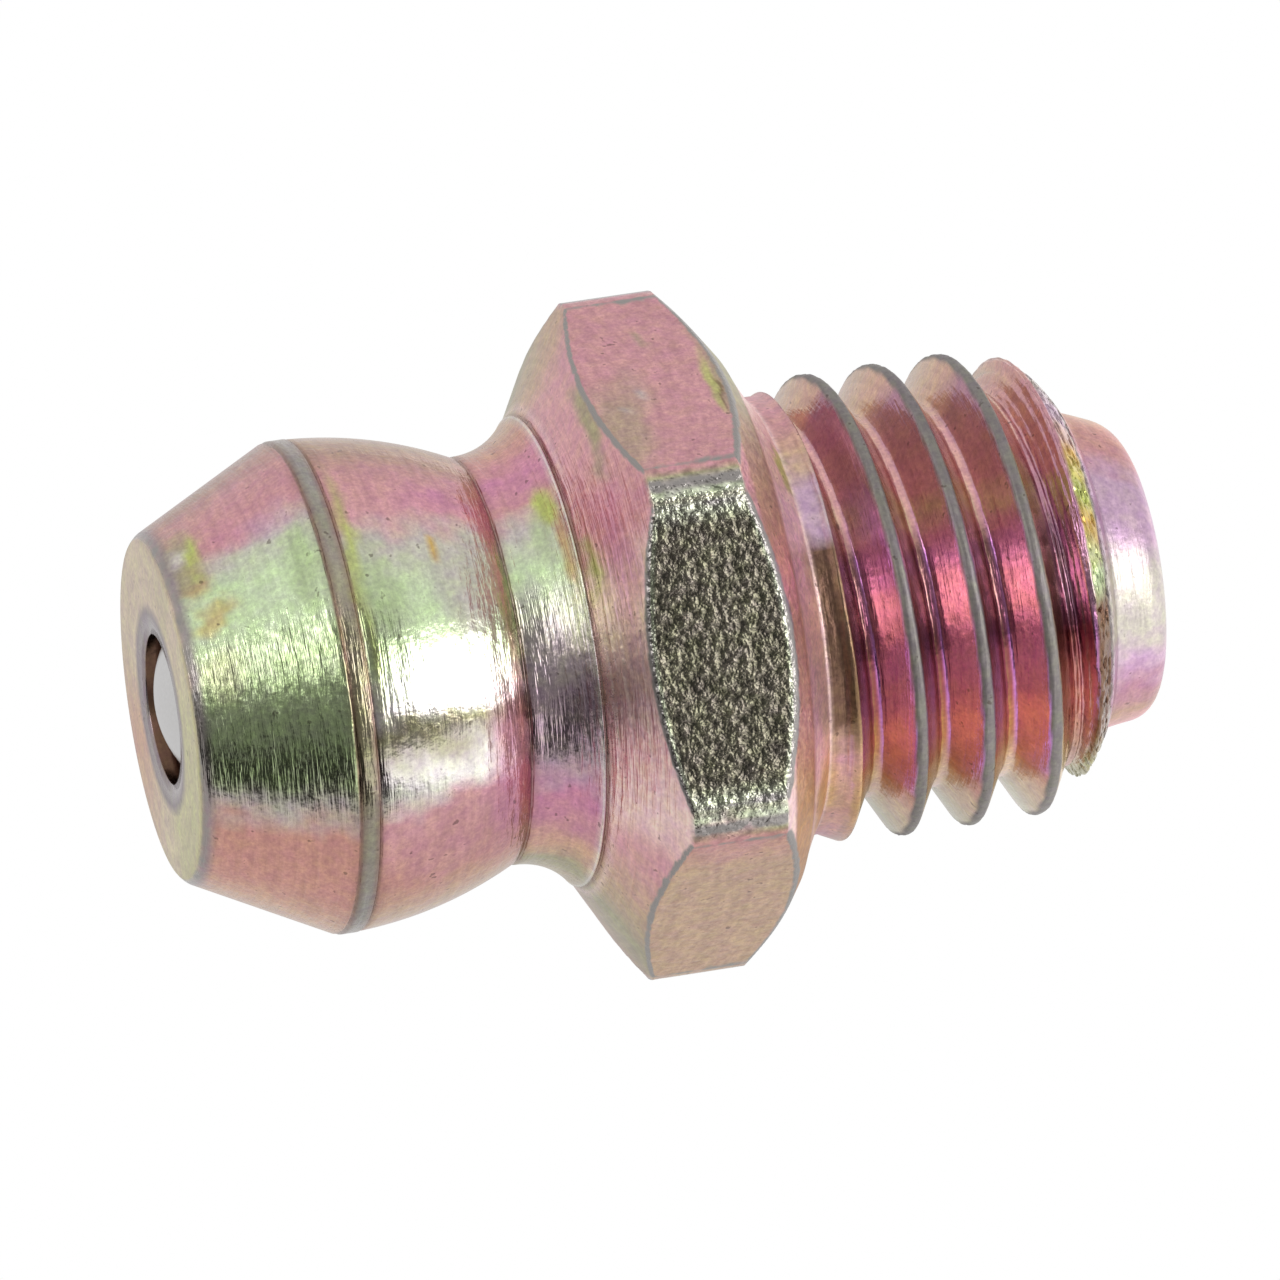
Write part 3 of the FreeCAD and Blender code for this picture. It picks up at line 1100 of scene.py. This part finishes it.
    def flat_blooms(self) -> list[Bloom]:
        """Give the clouds on the hexagon's flats: a grey-green corner, pale spots and a green rear edge."""
        f = Film
        return [
            Bloom(f.OLIVE, -1.80, 15, 0.34, 13, 0.6), Bloom(f.OLIVE, -1.45, 4, 0.22, 8, 0.35),
            Bloom(f.PEARL, -1.66, 9, 0.05, 1.8, 0.8), Bloom(f.PEARL, -1.44, 2, 0.04, 1.5, 0.7),
            Bloom(f.PEARL, -1.25, 21, 0.04, 1.4, 0.7), Bloom(f.OLIVE, -1.05, -13, 0.07, 3.0, 0.6),
            Bloom(f.OLIVE, -0.10, 0, 0.26, 30, 0.85), Bloom(f.LIME, -0.38, 2, 0.07, 12, 0.75),
            Bloom(f.UMBER, -0.33, 6, 0.02, 7, 0.8), Bloom(f.ROSE, -1.35, 95, 0.5, 5, 0.5),
        ]

    def lines(self) -> list[Line]:
        """Give the fine lines round the body: painted shade in the tool's small grooves, pale lines beside
        some, and a painted highlight on the flare's bead.
        """
        f = Film
        return [
            # Painted shade: the umber lines lie in the tool's small grooves. Painted highlight: the
            # near-white line on the flare's bead.
            Line(f.VIOLET, self.face_x + 0.08, 0.075, 0.85), Line(f.UMBER, self.ridge_front_x, 0.035, 0.75),
            Line(f.UMBER, self.ridge_back_x + 0.01, 0.035, 0.8),
            Line(f.BROWN, self.ridge_back_x + 0.11, 0.02, 0.5),
            Line(f.UMBER, self.neck_x, 0.03, 0.6), Line(f.RUST, self.neck_x - 0.12, 0.02, 0.5),
            Line(f.PAINTED_HIGHLIGHT, self.flare_x - 0.045, 0.015, 0.7), Line(f.UMBER, self.flare_x + 0.005, 0.02, 0.8),
            Line(f.PETAL, self.flare_x + 0.07, 0.02, 0.5), Line(f.PETAL, self.seat_end_x, 0.03, 0.6),
            Line(f.CREST, self.nose_x - 0.17, 0.03, 0.9),
        ]

    def past_flat(self, skin: Skin) -> np.ndarray:
        """Give how far the collar's turned outline stood out past the flats, in millimetres.

        The turned outline is straight between its corners.
        """
        places = [self.flare_x, self.hex_front_x, self.hex_rear_x, 0.0, self.seat_end_x]
        corner = self.corner_radius
        radii = [self.flare_radius, corner, corner, self.seat_radius, self.undercut_radius]
        return np.interp(skin.x, places, radii) - self.half_flats / np.cos(from_flat(skin.clock))

    def corner_strip(self, skin: Skin) -> np.ndarray:
        """Give 1 on the strips along the hexagon's six corners and 0 elsewhere."""
        tilt = np.degrees(np.abs(from_flat(skin.clock)))
        front, rear = self.hex_front_x, self.hex_rear_x
        return smooth(26.6, 27.4, tilt) * Span(front - 0.05, front, rear, rear + 0.05).share(skin.x)

    def on_flat(self, skin: Skin) -> np.ndarray:
        """Give 1 on the hexagon's flats and the strips at its corners, and 0 elsewhere."""
        milled = smooth(-0.02, 0.02, self.past_flat(skin))
        return np.maximum(milled, self.corner_strip(skin)) * self.in_hexagon(skin)

    def paint(self, piece: bpy.types.Object, skin: Skin) -> None:
        """Write the film's colour, the wear, the reliefs' depths and the roughness on the points.

        Args:
            piece: The body's mesh object.
            skin: The grid.
        """
        film, crest = self.film(skin)
        store(piece, "film", film)
        store(piece, "wear", self.wear(skin))
        self.store_relief(piece, skin, crest)

    def film(self, skin: Skin) -> tuple[np.ndarray, np.ndarray]:
        """Give the film's colours.

        They are each zone's run of colours, read at a clock angle that slow noise has pushed about, then
        the clouds over it, then the flats with a painted glare along the front flat's edges, the thread and
        the fine lines. Some runs and lines hold painted highlights and painted shade, and the passage inside
        is painted dark as shade.

        Args:
            skin: The grid.

        Returns:
            Linear colours, and the share of the thread's crests.
        """
        x, outside = skin.x, skin.outside
        clock = skin.clock + 3.0 * drift(x, skin.clock, 11)
        along = x + 0.05 * drift(x, skin.clock, 21)
        film = np.broadcast_to(linear(Film.ROSE.value), x.shape + (3,))
        for zone in self.zones():
            film = lay_over(film, run_colour(zone.run, clock), zone.share(x))
        for bloom in self.blooms():
            film = lay_over(film, linear(bloom.film.value), bloom.share(along, clock))
        on_flat = self.on_flat(skin)
        film = lay_over(film, run_colour(self.flat_run(), skin.clock), on_flat)
        for bloom in self.flat_blooms():
            film = lay_over(film, linear(bloom.film.value), bloom.share(along, clock) * on_flat)
        # Painted glare: a pale highlight band just inside the front flat's edges.
        front_flat_glare = 0.7 * on_flat * self.on_front_flat(skin, 31.0) * bell(self.past_flat(skin), 0.07, 0.05)
        film = lay_over(film, linear(Film.PAINTED_GLARE.value), front_flat_glare)
        film, crest = self.thread_film(film, skin, clock)
        for line in self.lines():
            film = lay_over(film, linear(line.film.value), line.share(x) * outside * (x > self.face_x + 0.01))
        # Painted shade: the passage inside is painted dark umber.
        film = np.where(outside[..., None], film, linear(Film.UMBER.value))
        rim = np.abs(x - self.face_x) < self.rim_depth + 0.005
        rim &= (skin.radius > self.mouth_radius - 0.01) & (skin.radius < self.rim_radius + 0.005)
        return np.where(rim[..., None], linear(Film.VIOLET.value), film), crest

    def on_front_flat(self, skin: Skin, reach: float) -> np.ndarray:
        """Give 1 within 29 degrees of the front flat's middle, falling to 0 at the reach in degrees."""
        return smooth(reach, 29.0, np.abs(wrapped(skin.clock - self.front_flat_clock)))

    def wear(self, skin: Skin) -> np.ndarray:
        """Give how rubbed the surface is: most at the hexagon's edges and corners and the face's edge."""
        past, strip = self.past_flat(skin), self.corner_strip(skin)
        width = np.where(skin.x > (self.hex_front_x + self.hex_rear_x) / 2, 0.11, 0.075)
        edge = bell(past, 0.0, width) * (1 - strip)
        corner = 0.9 * strip * bell(np.degrees(np.abs(from_flat(skin.clock))), 30.0, 1.7)
        hexagon = 0.80 * np.maximum(edge, corner) * self.in_hexagon(skin)
        from_edge = np.hypot(skin.x - self.face_x, skin.radius - self.face_radius)
        return np.maximum(hexagon, 0.75 * bell(from_edge, 0.0, 0.12) * skin.outside)

    def store_relief(self, piece: bpy.types.Object, skin: Skin, crest: np.ndarray) -> None:
        """Write how deep the turned rings and the grain are, and how rough the surface is.

        Args:
            piece: The body's mesh object.
            skin: The grid.
            crest: The share of the thread's crests.
        """
        x, on_flat = skin.x, self.on_flat(skin)
        # Each row: place along the axis, rings' depth, grain's depth, added roughness
        places, ring_depths, grain_depths, added = np.array([
            (self.face_x, 0.90, 0.12, 0.03),
            (self.ridge_back_x, 0.90, 0.12, 0.03),
            (self.ridge_back_x + 0.3, 0.22, 0.12, 0.00),
            (self.neck_x - 0.3, 0.35, 0.14, 0.03),
            (self.neck_x, 0.85, 0.10, 0.03),
            (self.flare_x, 0.80, 0.12, 0.10),
            (self.hex_front_x, 0.30, 0.15, 0.20),
            (self.hex_rear_x, 0.25, 0.25, 0.24),
            (self.seat_end_x, 0.25, 0.25, 0.24),
            (self.thread_in_x, 0.25, 0.12, 0.08),
            (self.thread_end_x, 0.25, 0.12, 0.08),
            (self.nose_x - 0.2, 0.80, 0.30, 0.06),
            (self.nose_x, 0.50, 0.14, 0.22),
            (self.end_x, 0.40, 0.14, 0.22),
        ]).T
        turned = skin.outside & (x > self.face_x + 0.02)
        rings = np.where(turned, np.interp(x, places, ring_depths), 0.04) * (1 - on_flat)
        grain = np.where(skin.outside, np.interp(x, places, grain_depths), 0.05) * (1 - on_flat)
        grain = grain + on_flat * (0.20 + 0.80 * self.on_front_flat(skin, 35.0))
        extra = np.interp(x, places, added) * (1 - on_flat) + 0.02 * on_flat
        thread = Span(self.thread_in_x - 0.3, self.thread_in_x, self.thread_end_x, self.thread_end_x + 0.2)
        rough = self.finish.roughness + 0.30 * crest + extra + 0.16 * (x < self.face_x + 0.01)
        store(piece, "rings", rings)
        store(piece, "grain", grain)
        store(piece, "rough", rough - 0.04 * thread.share(x))

    def thread_film(
        self, film: np.ndarray, skin: Skin, clock: np.ndarray
    ) -> tuple[np.ndarray, np.ndarray]:
        """Colour the thread: each flank, the roots and the crests, and then its end.

        Past the last full turn come the die's wine-red ridges, and then a ragged line of gold, green and
        brown up to the nose.

        Args:
            film: Colours so far.
            skin: The grid.
            clock: Its clock angles, pushed about by noise.

        Returns:
            The new colours, and the crests' share.
        """
        f, x, outside = Film, skin.x, skin.outside
        # Painted shade: the flank facing the nose gets a darker run than the flank facing the head.
        facing_head = [
            (-45, f.TAN), (-18, f.PEACH), (-6, f.WINE), (24, f.WINE), (38, f.CRIMSON), (46, f.ORCHID),
            (53, f.CRIMSON), (61, f.CRIMSON), (70, f.ORCHID), (98, f.ORCHID), (107, f.RED), (114, f.RUST),
            (124, f.TAN), (150, f.OLIVE), (190, f.ROSE), (240, f.CRIMSON), (285, f.SALMON),
        ]
        shaded_facing_nose = [
            (-45, f.TAN), (-10, f.TAN), (20, f.PEACH), (29, f.LIME), (38, f.MEADOW), (58, f.MEADOW),
            (70, f.BRONZE), (78, f.BRONZE), (90, f.AMBER), (100, f.HONEY), (114, f.HONEY), (150, f.TAN),
            (200, f.SALMON), (260, f.BROWN), (310, f.TAN),
        ]
        root = [
            (-30, f.TAN), (0, f.CORAL), (28, f.CORAL), (42, f.CLAY), (57, f.HEATHER), (72, f.GARNET),
            (88, f.EMBER), (102, f.COPPER), (120, f.TAN), (190, f.ROSE), (285, f.SALMON),
        ]
        ridged_run = [
            (-40, f.SALMON), (0, f.ROSE), (40, f.WINE), (62, f.WINE), (74, f.GARNET), (92, f.RUST),
            (125, f.BROWN), (220, f.ROSE),
        ]
        ragged_run = [
            (-40, f.LEAF), (5, f.LILAC), (20, f.GOLD), (32, f.LIME), (44, f.GOLD), (56, f.LEAF),
            (66, f.UMBER), (105, f.UMBER), (125, f.OLIVE),
        ]
        phase = self.thread_phase(x, skin.clock)
        threaded = Span(self.undercut_end_x, self.thread_in_x, self.nose_x - 0.12, self.nose_x)
        within = outside * threaded.share(x)
        flank = lay_over(
            run_colour(shaded_facing_nose, clock), run_colour(facing_head, clock), smooth(-0.03, 0.03, phase)
        )
        flank = lay_over(flank, run_colour(root, clock), bell(phase, 0.0, 0.06))
        film = lay_over(film, flank, within)
        crest = smooth(self.crest_radius - 0.065, self.crest_radius - 0.03, skin.radius) * within
        crest = crest * (1 - smooth(self.thread_end_x - 0.05, self.thread_end_x + 0.08, x))
        film = lay_over(film, linear(Film.CREST.value), crest)
        # The ridges start beside the groove, and a little further on they cover its floor too
        beside = Span(3.62, 3.70, 4.06, 4.12).share(x) * smooth(0.25, 0.12, np.abs(phase))
        ridged = np.maximum(beside, Span(3.80, 3.90, 4.06, 4.12).share(x)) * outside
        film = lay_over(film, run_colour(ridged_run, clock), 0.92 * ridged)
        ragged = Span(4.06, 4.14, 4.36, 4.44).share(x) * outside
        film = lay_over(film, run_colour(ragged_run, clock), ragged)
        nose = smooth(4.36, 4.42, x) * outside
        return lay_over(film, run_colour(self.zones()[-1].run, clock), nose), crest


@dataclass
class CheckBall:
    """The check ball in the mouth of the head."""

    centre_x: float
    radius: float
    off_seat: tuple[float, float, float] = (0.04, 0.027, 0.042)
    rows: int = 96
    columns: int = 128
    finish: BearingSteel = field(default_factory=BearingSteel)

    def build(self) -> bpy.types.Object:
        """Make the ball as a grid of latitudes about the axis, with a fan of faces closing each pole.

        A point is the centre plus the radius times (-cos of the latitude's angle, its sine turned about
        the axis). The ball rests a few hundredths of a millimetre off its seat, as grease leaves it.

        Returns:
            The finished piece.
        """
        polar = np.linspace(0, math.pi, self.rows + 1)[1:-1]
        turn = np.linspace(0, 2 * math.pi, self.columns, endpoint=False)
        p, t = np.meshgrid(polar, turn, indexing="ij")
        middle = np.array([self.centre_x, 0, 0]) + np.array(self.off_seat)
        grid = np.stack([-np.cos(p), -np.sin(p) * np.sin(t), np.sin(p) * np.cos(t)], -1)
        poles = np.array([[-1.0, 0, 0], [1.0, 0, 0]])
        piece = add_capped_mesh("check_ball", grid * self.radius + middle, poles * self.radius + middle)
        self.finish.dress(piece)
        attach(piece, Body.BALL.value)
        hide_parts("ball")
        return piece


@dataclass
class CoilSpring:
    """The compression spring between the ball and the rolled lip, with a closed turn at each end."""

    start_x: float
    end_x: float
    coil_radius: float
    wire_radius: float = 0.20
    turns: int = 12
    closed_turns: float = 1.0
    opening_turns: float = 0.5
    closed_gap: float = 0.02
    travel: float = 5.15
    stations: int = 48
    around: int = 16
    finish: SpringWire = field(default_factory=SpringWire)

    def build(self) -> bpy.types.Object:
        """Carry the wire's circle along the coil.

        The coil's place along the axis is the running sum of its pitch over its turns: the wire's
        diameter and a small gap in the closed turns, and one even pitch between them.

        Returns:
            The finished piece.
        """
        count = self.turns * self.stations
        turn = (np.arange(count) + 0.5) / self.stations
        into = np.minimum(turn, self.turns - turn) - self.closed_turns
        share = smooth(0.0, self.opening_turns, into)
        closed = (2 * self.wire_radius + self.closed_gap) / self.stations
        length = self.end_x - self.start_x
        spare = (length - closed * count) / share.sum()
        x = self.start_x + np.concatenate([[0], np.cumsum(closed + spare * share)])
        theta = 2 * math.pi * np.arange(count + 1) / self.stations
        line = np.stack([x, self.coil_radius * np.sin(theta), self.coil_radius * np.cos(theta)], 1)
        tangent = np.gradient(line, axis=0)
        tangent /= np.linalg.norm(tangent, axis=1, keepdims=True)
        outward = np.stack([np.zeros_like(theta), np.sin(theta), np.cos(theta)], 1)
        side = np.cross(tangent, outward)
        ring = np.linspace(0, 2 * math.pi, self.around, endpoint=False)[None, :, None]
        circle = np.cos(ring) * outward[:, None] + np.sin(ring) * side[:, None]
        piece = add_capped_mesh("coil_spring", line[:, None] + self.wire_radius * circle, line[[0, -1]])
        self.finish.dress(piece)
        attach(piece, Body.NIPPLE.value)
        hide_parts("spring")
        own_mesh(piece)
        return piece


@dataclass(frozen=True)
class Softbox:
    """A softbox, as angles seen from the nipple: right of the camera's line and above it, in degrees."""

    name: str
    left: float
    right: float
    low: float
    high: float
    brightness: float


@dataclass
class Studio:
    """The camera, the plain floor and the soft light round the nipple.

    The camera's place is written from the head's face, in the directions that the view gives: right,
    up and towards the camera, in millimetres. Dark sides of the room are angles, as a softbox's are.
    """

    face_x: float
    azimuth: float = -15.06
    elevation: float = 34.3
    right_mm: float = 6.222
    up_mm: float = 0.905
    back_mm: float = 200.0
    focal_pixels: float = 15420.0
    frame_pixels: float = 1280.0
    sensor_mm: float = 36.0
    floor_z: float = -3.969
    half_floor_mm: float = 400.0
    card_mm: float = 9.0
    card_right_mm: float = 2.0
    paper: str = "e8e6e4"
    dark_card: str = "2c2a2a"
    floor_level: float = 0.78
    bright_floor_level: float = 1.3
    softbox_mm: float = 150.0
    room_level: float = 0.85
    dark_level: float = 0.26
    dark_fade: float = 5.0
    dark_sides: tuple[tuple[float, float, float, float], ...] = (
        (-88.0, 45.0, -52.0, -5.0),
        (-16.0, 33.0, -30.0, 32.0),
        (30.0, 64.0, -40.0, -12.0),
    )
    softboxes: tuple[Softbox, ...] = (
        Softbox("right_softbox", 38, 68, -11, 19, 3.4),
        Softbox("left_softbox", -46, -23, 1, 22, 2.6),
    )

    def axes(self) -> tuple[np.ndarray, np.ndarray, np.ndarray]:
        """Give the view's right, up and towards directions."""
        a, e = math.radians(self.azimuth), math.radians(self.elevation)
        toward = np.array([math.sin(a) * math.cos(e), -math.cos(a) * math.cos(e), math.sin(e)])
        right = np.array([math.cos(a), math.sin(a), 0.0])
        return right, np.cross(toward, right), toward

    def add_camera(self) -> None:
        """Put the camera where the photograph was taken from."""
        right, up, toward = self.axes()
        place = right * self.right_mm + up * self.up_mm + toward * self.back_mm
        place[0] += self.face_x
        data = bpy.data.cameras.new("camera")
        data.sensor_width = self.sensor_mm
        data.lens = self.focal_pixels / self.frame_pixels * self.sensor_mm
        data.clip_start = 0.01
        data.clip_end = 10.0
        camera = bpy.data.objects.new("camera", data)
        turn = Matrix([right, up, toward]).transposed().to_4x4()
        camera.matrix_world = Matrix.Translation(Vector(place * MM)) @ turn
        bpy.context.scene.collection.objects.link(camera)
        bpy.context.scene.camera = camera

    def add_floor(self) -> None:
        """Lay a plain white floor under the nipple, with a dark card on it in front, out of the picture.

        The camera sees the floor white. Metal sees it pale, and brighter on the right, and sees the card.
        """
        half, low = self.half_floor_mm, self.floor_z
        square = np.array([[-half, -half, low], [half, -half, low], [half, half, low], [-half, half, low]])
        floor = add_mesh("floor", square, np.array([[0, 1, 2, 3]]))
        material = bpy.data.materials.new("white_sweep")
        material.use_nodes = True
        tree = material.node_tree
        tree.nodes.clear()
        path = add_node(tree, "LightPath").outputs
        right, _, toward = self.axes()
        ahead = Vector((toward[0], toward[1], 0.0)).normalized()
        place = add_node(tree, "TexCoord").outputs["Object"]
        across = []
        fades = (
            (ahead, self.card_mm, 1.6 * self.card_mm),
            (right, self.card_right_mm, self.card_right_mm + 4.0),
        )
        for axis, start_mm, end_mm in fades:
            distance = add_node(tree, "VectorMath", {"operation": "DOT_PRODUCT"}, i0=place, i1=tuple(axis))
            across.append(add_node(
                tree, "MapRange", i0=distance.outputs["Value"], i1=start_mm * MM, i2=end_mm * MM,
                i3=0.0, i4=1.0,
            ).outputs[0])
        in_front, on_right = across
        on_left = add_node(tree, "Math", {"operation": "SUBTRACT"}, i0=1.0, i1=on_right)
        card = add_node(tree, "Math", {"operation": "MULTIPLY"}, i0=in_front, i1=on_left)
        open_floor = add_node(tree, "Math", {"operation": "SUBTRACT"}, i0=1.0, i1=card)
        mirrored = add_node(
            tree, "Math", {"operation": "MULTIPLY"}, i0=open_floor,
            i1=path["Is Glossy Ray"],
        )
        clear = mirrored
        for ray in ("Is Camera Ray", "Is Transmission Ray"):
            clear = add_node(tree, "Math", {"operation": "MAXIMUM"}, i0=clear, i1=path[ray])
        tone = add_node(
            tree, "Mix", {"data_type": "RGBA"}, i0=card, i6=rgba(self.paper),
            i7=rgba(self.dark_card),
        )
        paper = add_node(tree, "BsdfDiffuse", Color=tone.outputs[2])
        mirror_level = add_node(
            tree, "MapRange", i0=on_right, i1=0.0, i2=1.0, i3=self.floor_level,
            i4=self.bright_floor_level,
        )
        level = add_node(
            tree, "Mix", {"data_type": "FLOAT"}, i0=path["Is Camera Ray"],
            i2=mirror_level, i3=1.0,
        )
        glow = add_node(tree, "Emission", Color=(1, 1, 1, 1), Strength=level)
        mix = add_node(tree, "MixShader", i0=clear, i1=paper, i2=glow)
        add_node(tree, "OutputMaterial", Surface=mix)
        floor.data.materials.append(material)
        floor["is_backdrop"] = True

    def add_softbox(self, box: Softbox) -> None:
        """Hang one softbox that looks at the nipple.

        Args:
            box: Where it hangs, as seen from the nipple, and how bright it is.
        """
        right, up, toward = self.axes()
        azimuth = math.radians((box.left + box.right) / 2)
        height = math.radians((box.low + box.high) / 2)
        level = toward * math.cos(azimuth) + right * math.sin(azimuth)
        direction = level * math.cos(height) + up * math.sin(height)
        far = self.softbox_mm
        width = 2 * far * math.tan(math.radians(box.right - box.left) / 2) * math.cos(height)
        tall = 2 * far * math.tan(math.radians(box.high - box.low) / 2)
        data = bpy.data.lights.new(box.name, "AREA")
        data.shape = "RECTANGLE"
        data.size, data.size_y = width * MM, tall * MM
        data.energy = box.brightness * math.pi * data.size * data.size_y
        lamp = bpy.data.objects.new(box.name, data)
        side = np.cross(up, direction)
        side /= np.linalg.norm(side)
        turn = Matrix([side, np.cross(direction, side), direction]).transposed().to_4x4()
        middle = np.array([self.face_x / 2, 0, 0])
        lamp.matrix_world = Matrix.Translation(Vector((middle + direction * far) * MM)) @ turn
        bpy.context.scene.collection.objects.link(lamp)

    def add_world(self) -> None:
        """Surround the nipple with a pale room that has dark sides.

        The camera sees the room white. The room's level falls to its dark level between set angles
        to the right of the camera's line and above it.
        """
        world = bpy.data.worlds.new("room")
        world.use_nodes = True
        tree = world.node_tree
        tree.nodes.clear()
        ray = add_node(tree, "TexCoord").outputs["Generated"]
        along = [
            add_node(tree, "VectorMath", {"operation": "DOT_PRODUCT"}, i0=ray, i1=tuple(axis))
            for axis in self.axes()
        ]
        right, up, toward = (node.outputs["Value"] for node in along)
        azimuth = add_node(tree, "Math", {"operation": "ARCTAN2"}, i0=right, i1=toward)
        height = add_node(tree, "Math", {"operation": "ARCSINE"}, i0=up)
        share = None
        for left, dark_right, low, high in self.dark_sides:
            side = None
            edges = (
                (azimuth, left, 0.0), (azimuth, dark_right, 1.0), (height, low, 0.0), (height, high, 1.0),
            )
            for angle, edge, before in edges:
                step = add_node(
                    tree, "MapRange", {"interpolation_type": "SMOOTHSTEP"}, i0=angle,
                    i1=math.radians(edge - self.dark_fade), i2=math.radians(edge + self.dark_fade),
                    i3=before, i4=1.0 - before,
                )
                side = step if side is None else add_node(
                    tree, "Math", {"operation": "MULTIPLY"}, i0=side, i1=step
                )
            share = side if share is None else add_node(
                tree, "Math", {"operation": "MAXIMUM"}, i0=share, i1=side
            )
        level = add_node(
            tree, "MapRange", i0=share, i1=0.0, i2=1.0, i3=self.room_level,
            i4=self.dark_level,
        )
        path = add_node(tree, "LightPath")
        room = add_node(tree, "Background", Color=(1, 1, 1, 1), Strength=level)
        white = add_node(tree, "Background", Color=(1, 1, 1, 1), Strength=1.0)
        mix = add_node(tree, "MixShader", i0=path.outputs["Is Camera Ray"], i1=room, i2=white)
        add_node(tree, "OutputWorld", Surface=mix)
        bpy.context.scene.world = world

    def build(self) -> None:
        """Set up the view, the floor and the light."""
        self.add_camera()
        self.add_floor()
        self.add_world()
        for box in self.softboxes:
            self.add_softbox(box)
        bpy.context.scene.view_settings.view_transform = "Standard"


def corners(box: tuple) -> list[list[float]]:
    """Give a box's two corners as plain lists of numbers."""
    return [[float(v) for v in corner] for corner in box]


def main() -> None:
    """Build every piece round the frame and report it."""
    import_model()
    cad_box = corners(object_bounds())
    (body_start, _, _), (body_end, _, _) = (np.array(v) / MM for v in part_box("body"))
    (ball_start, _, _), (ball_end, _, _) = (np.array(v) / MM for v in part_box("ball"))
    (spring_start, _, _), (spring_end, _, spring_top) = (np.array(v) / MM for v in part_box("spring"))
    wire = CoilSpring.wire_radius
    body = TurnedBody(face_x=float(body_start), end_x=float(body_end))
    ball = CheckBall(centre_x=float(ball_start + ball_end) / 2, radius=float(ball_end - ball_start) / 2)
    spring = CoilSpring(
        start_x=float(spring_start) + wire, end_x=float(spring_end) - wire,
        coil_radius=float(spring_top) - wire,
    )
    for part in (body, ball, spring):
        piece = part.build()
        LOG.info("%s: %d points, %d faces", piece.name, len(piece.data.vertices), len(piece.data.polygons))
    Studio(face_x=body.face_x).build()
    {"cad": cad_box, "visual": corners(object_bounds())}


if __name__ == "__main__":
    main()
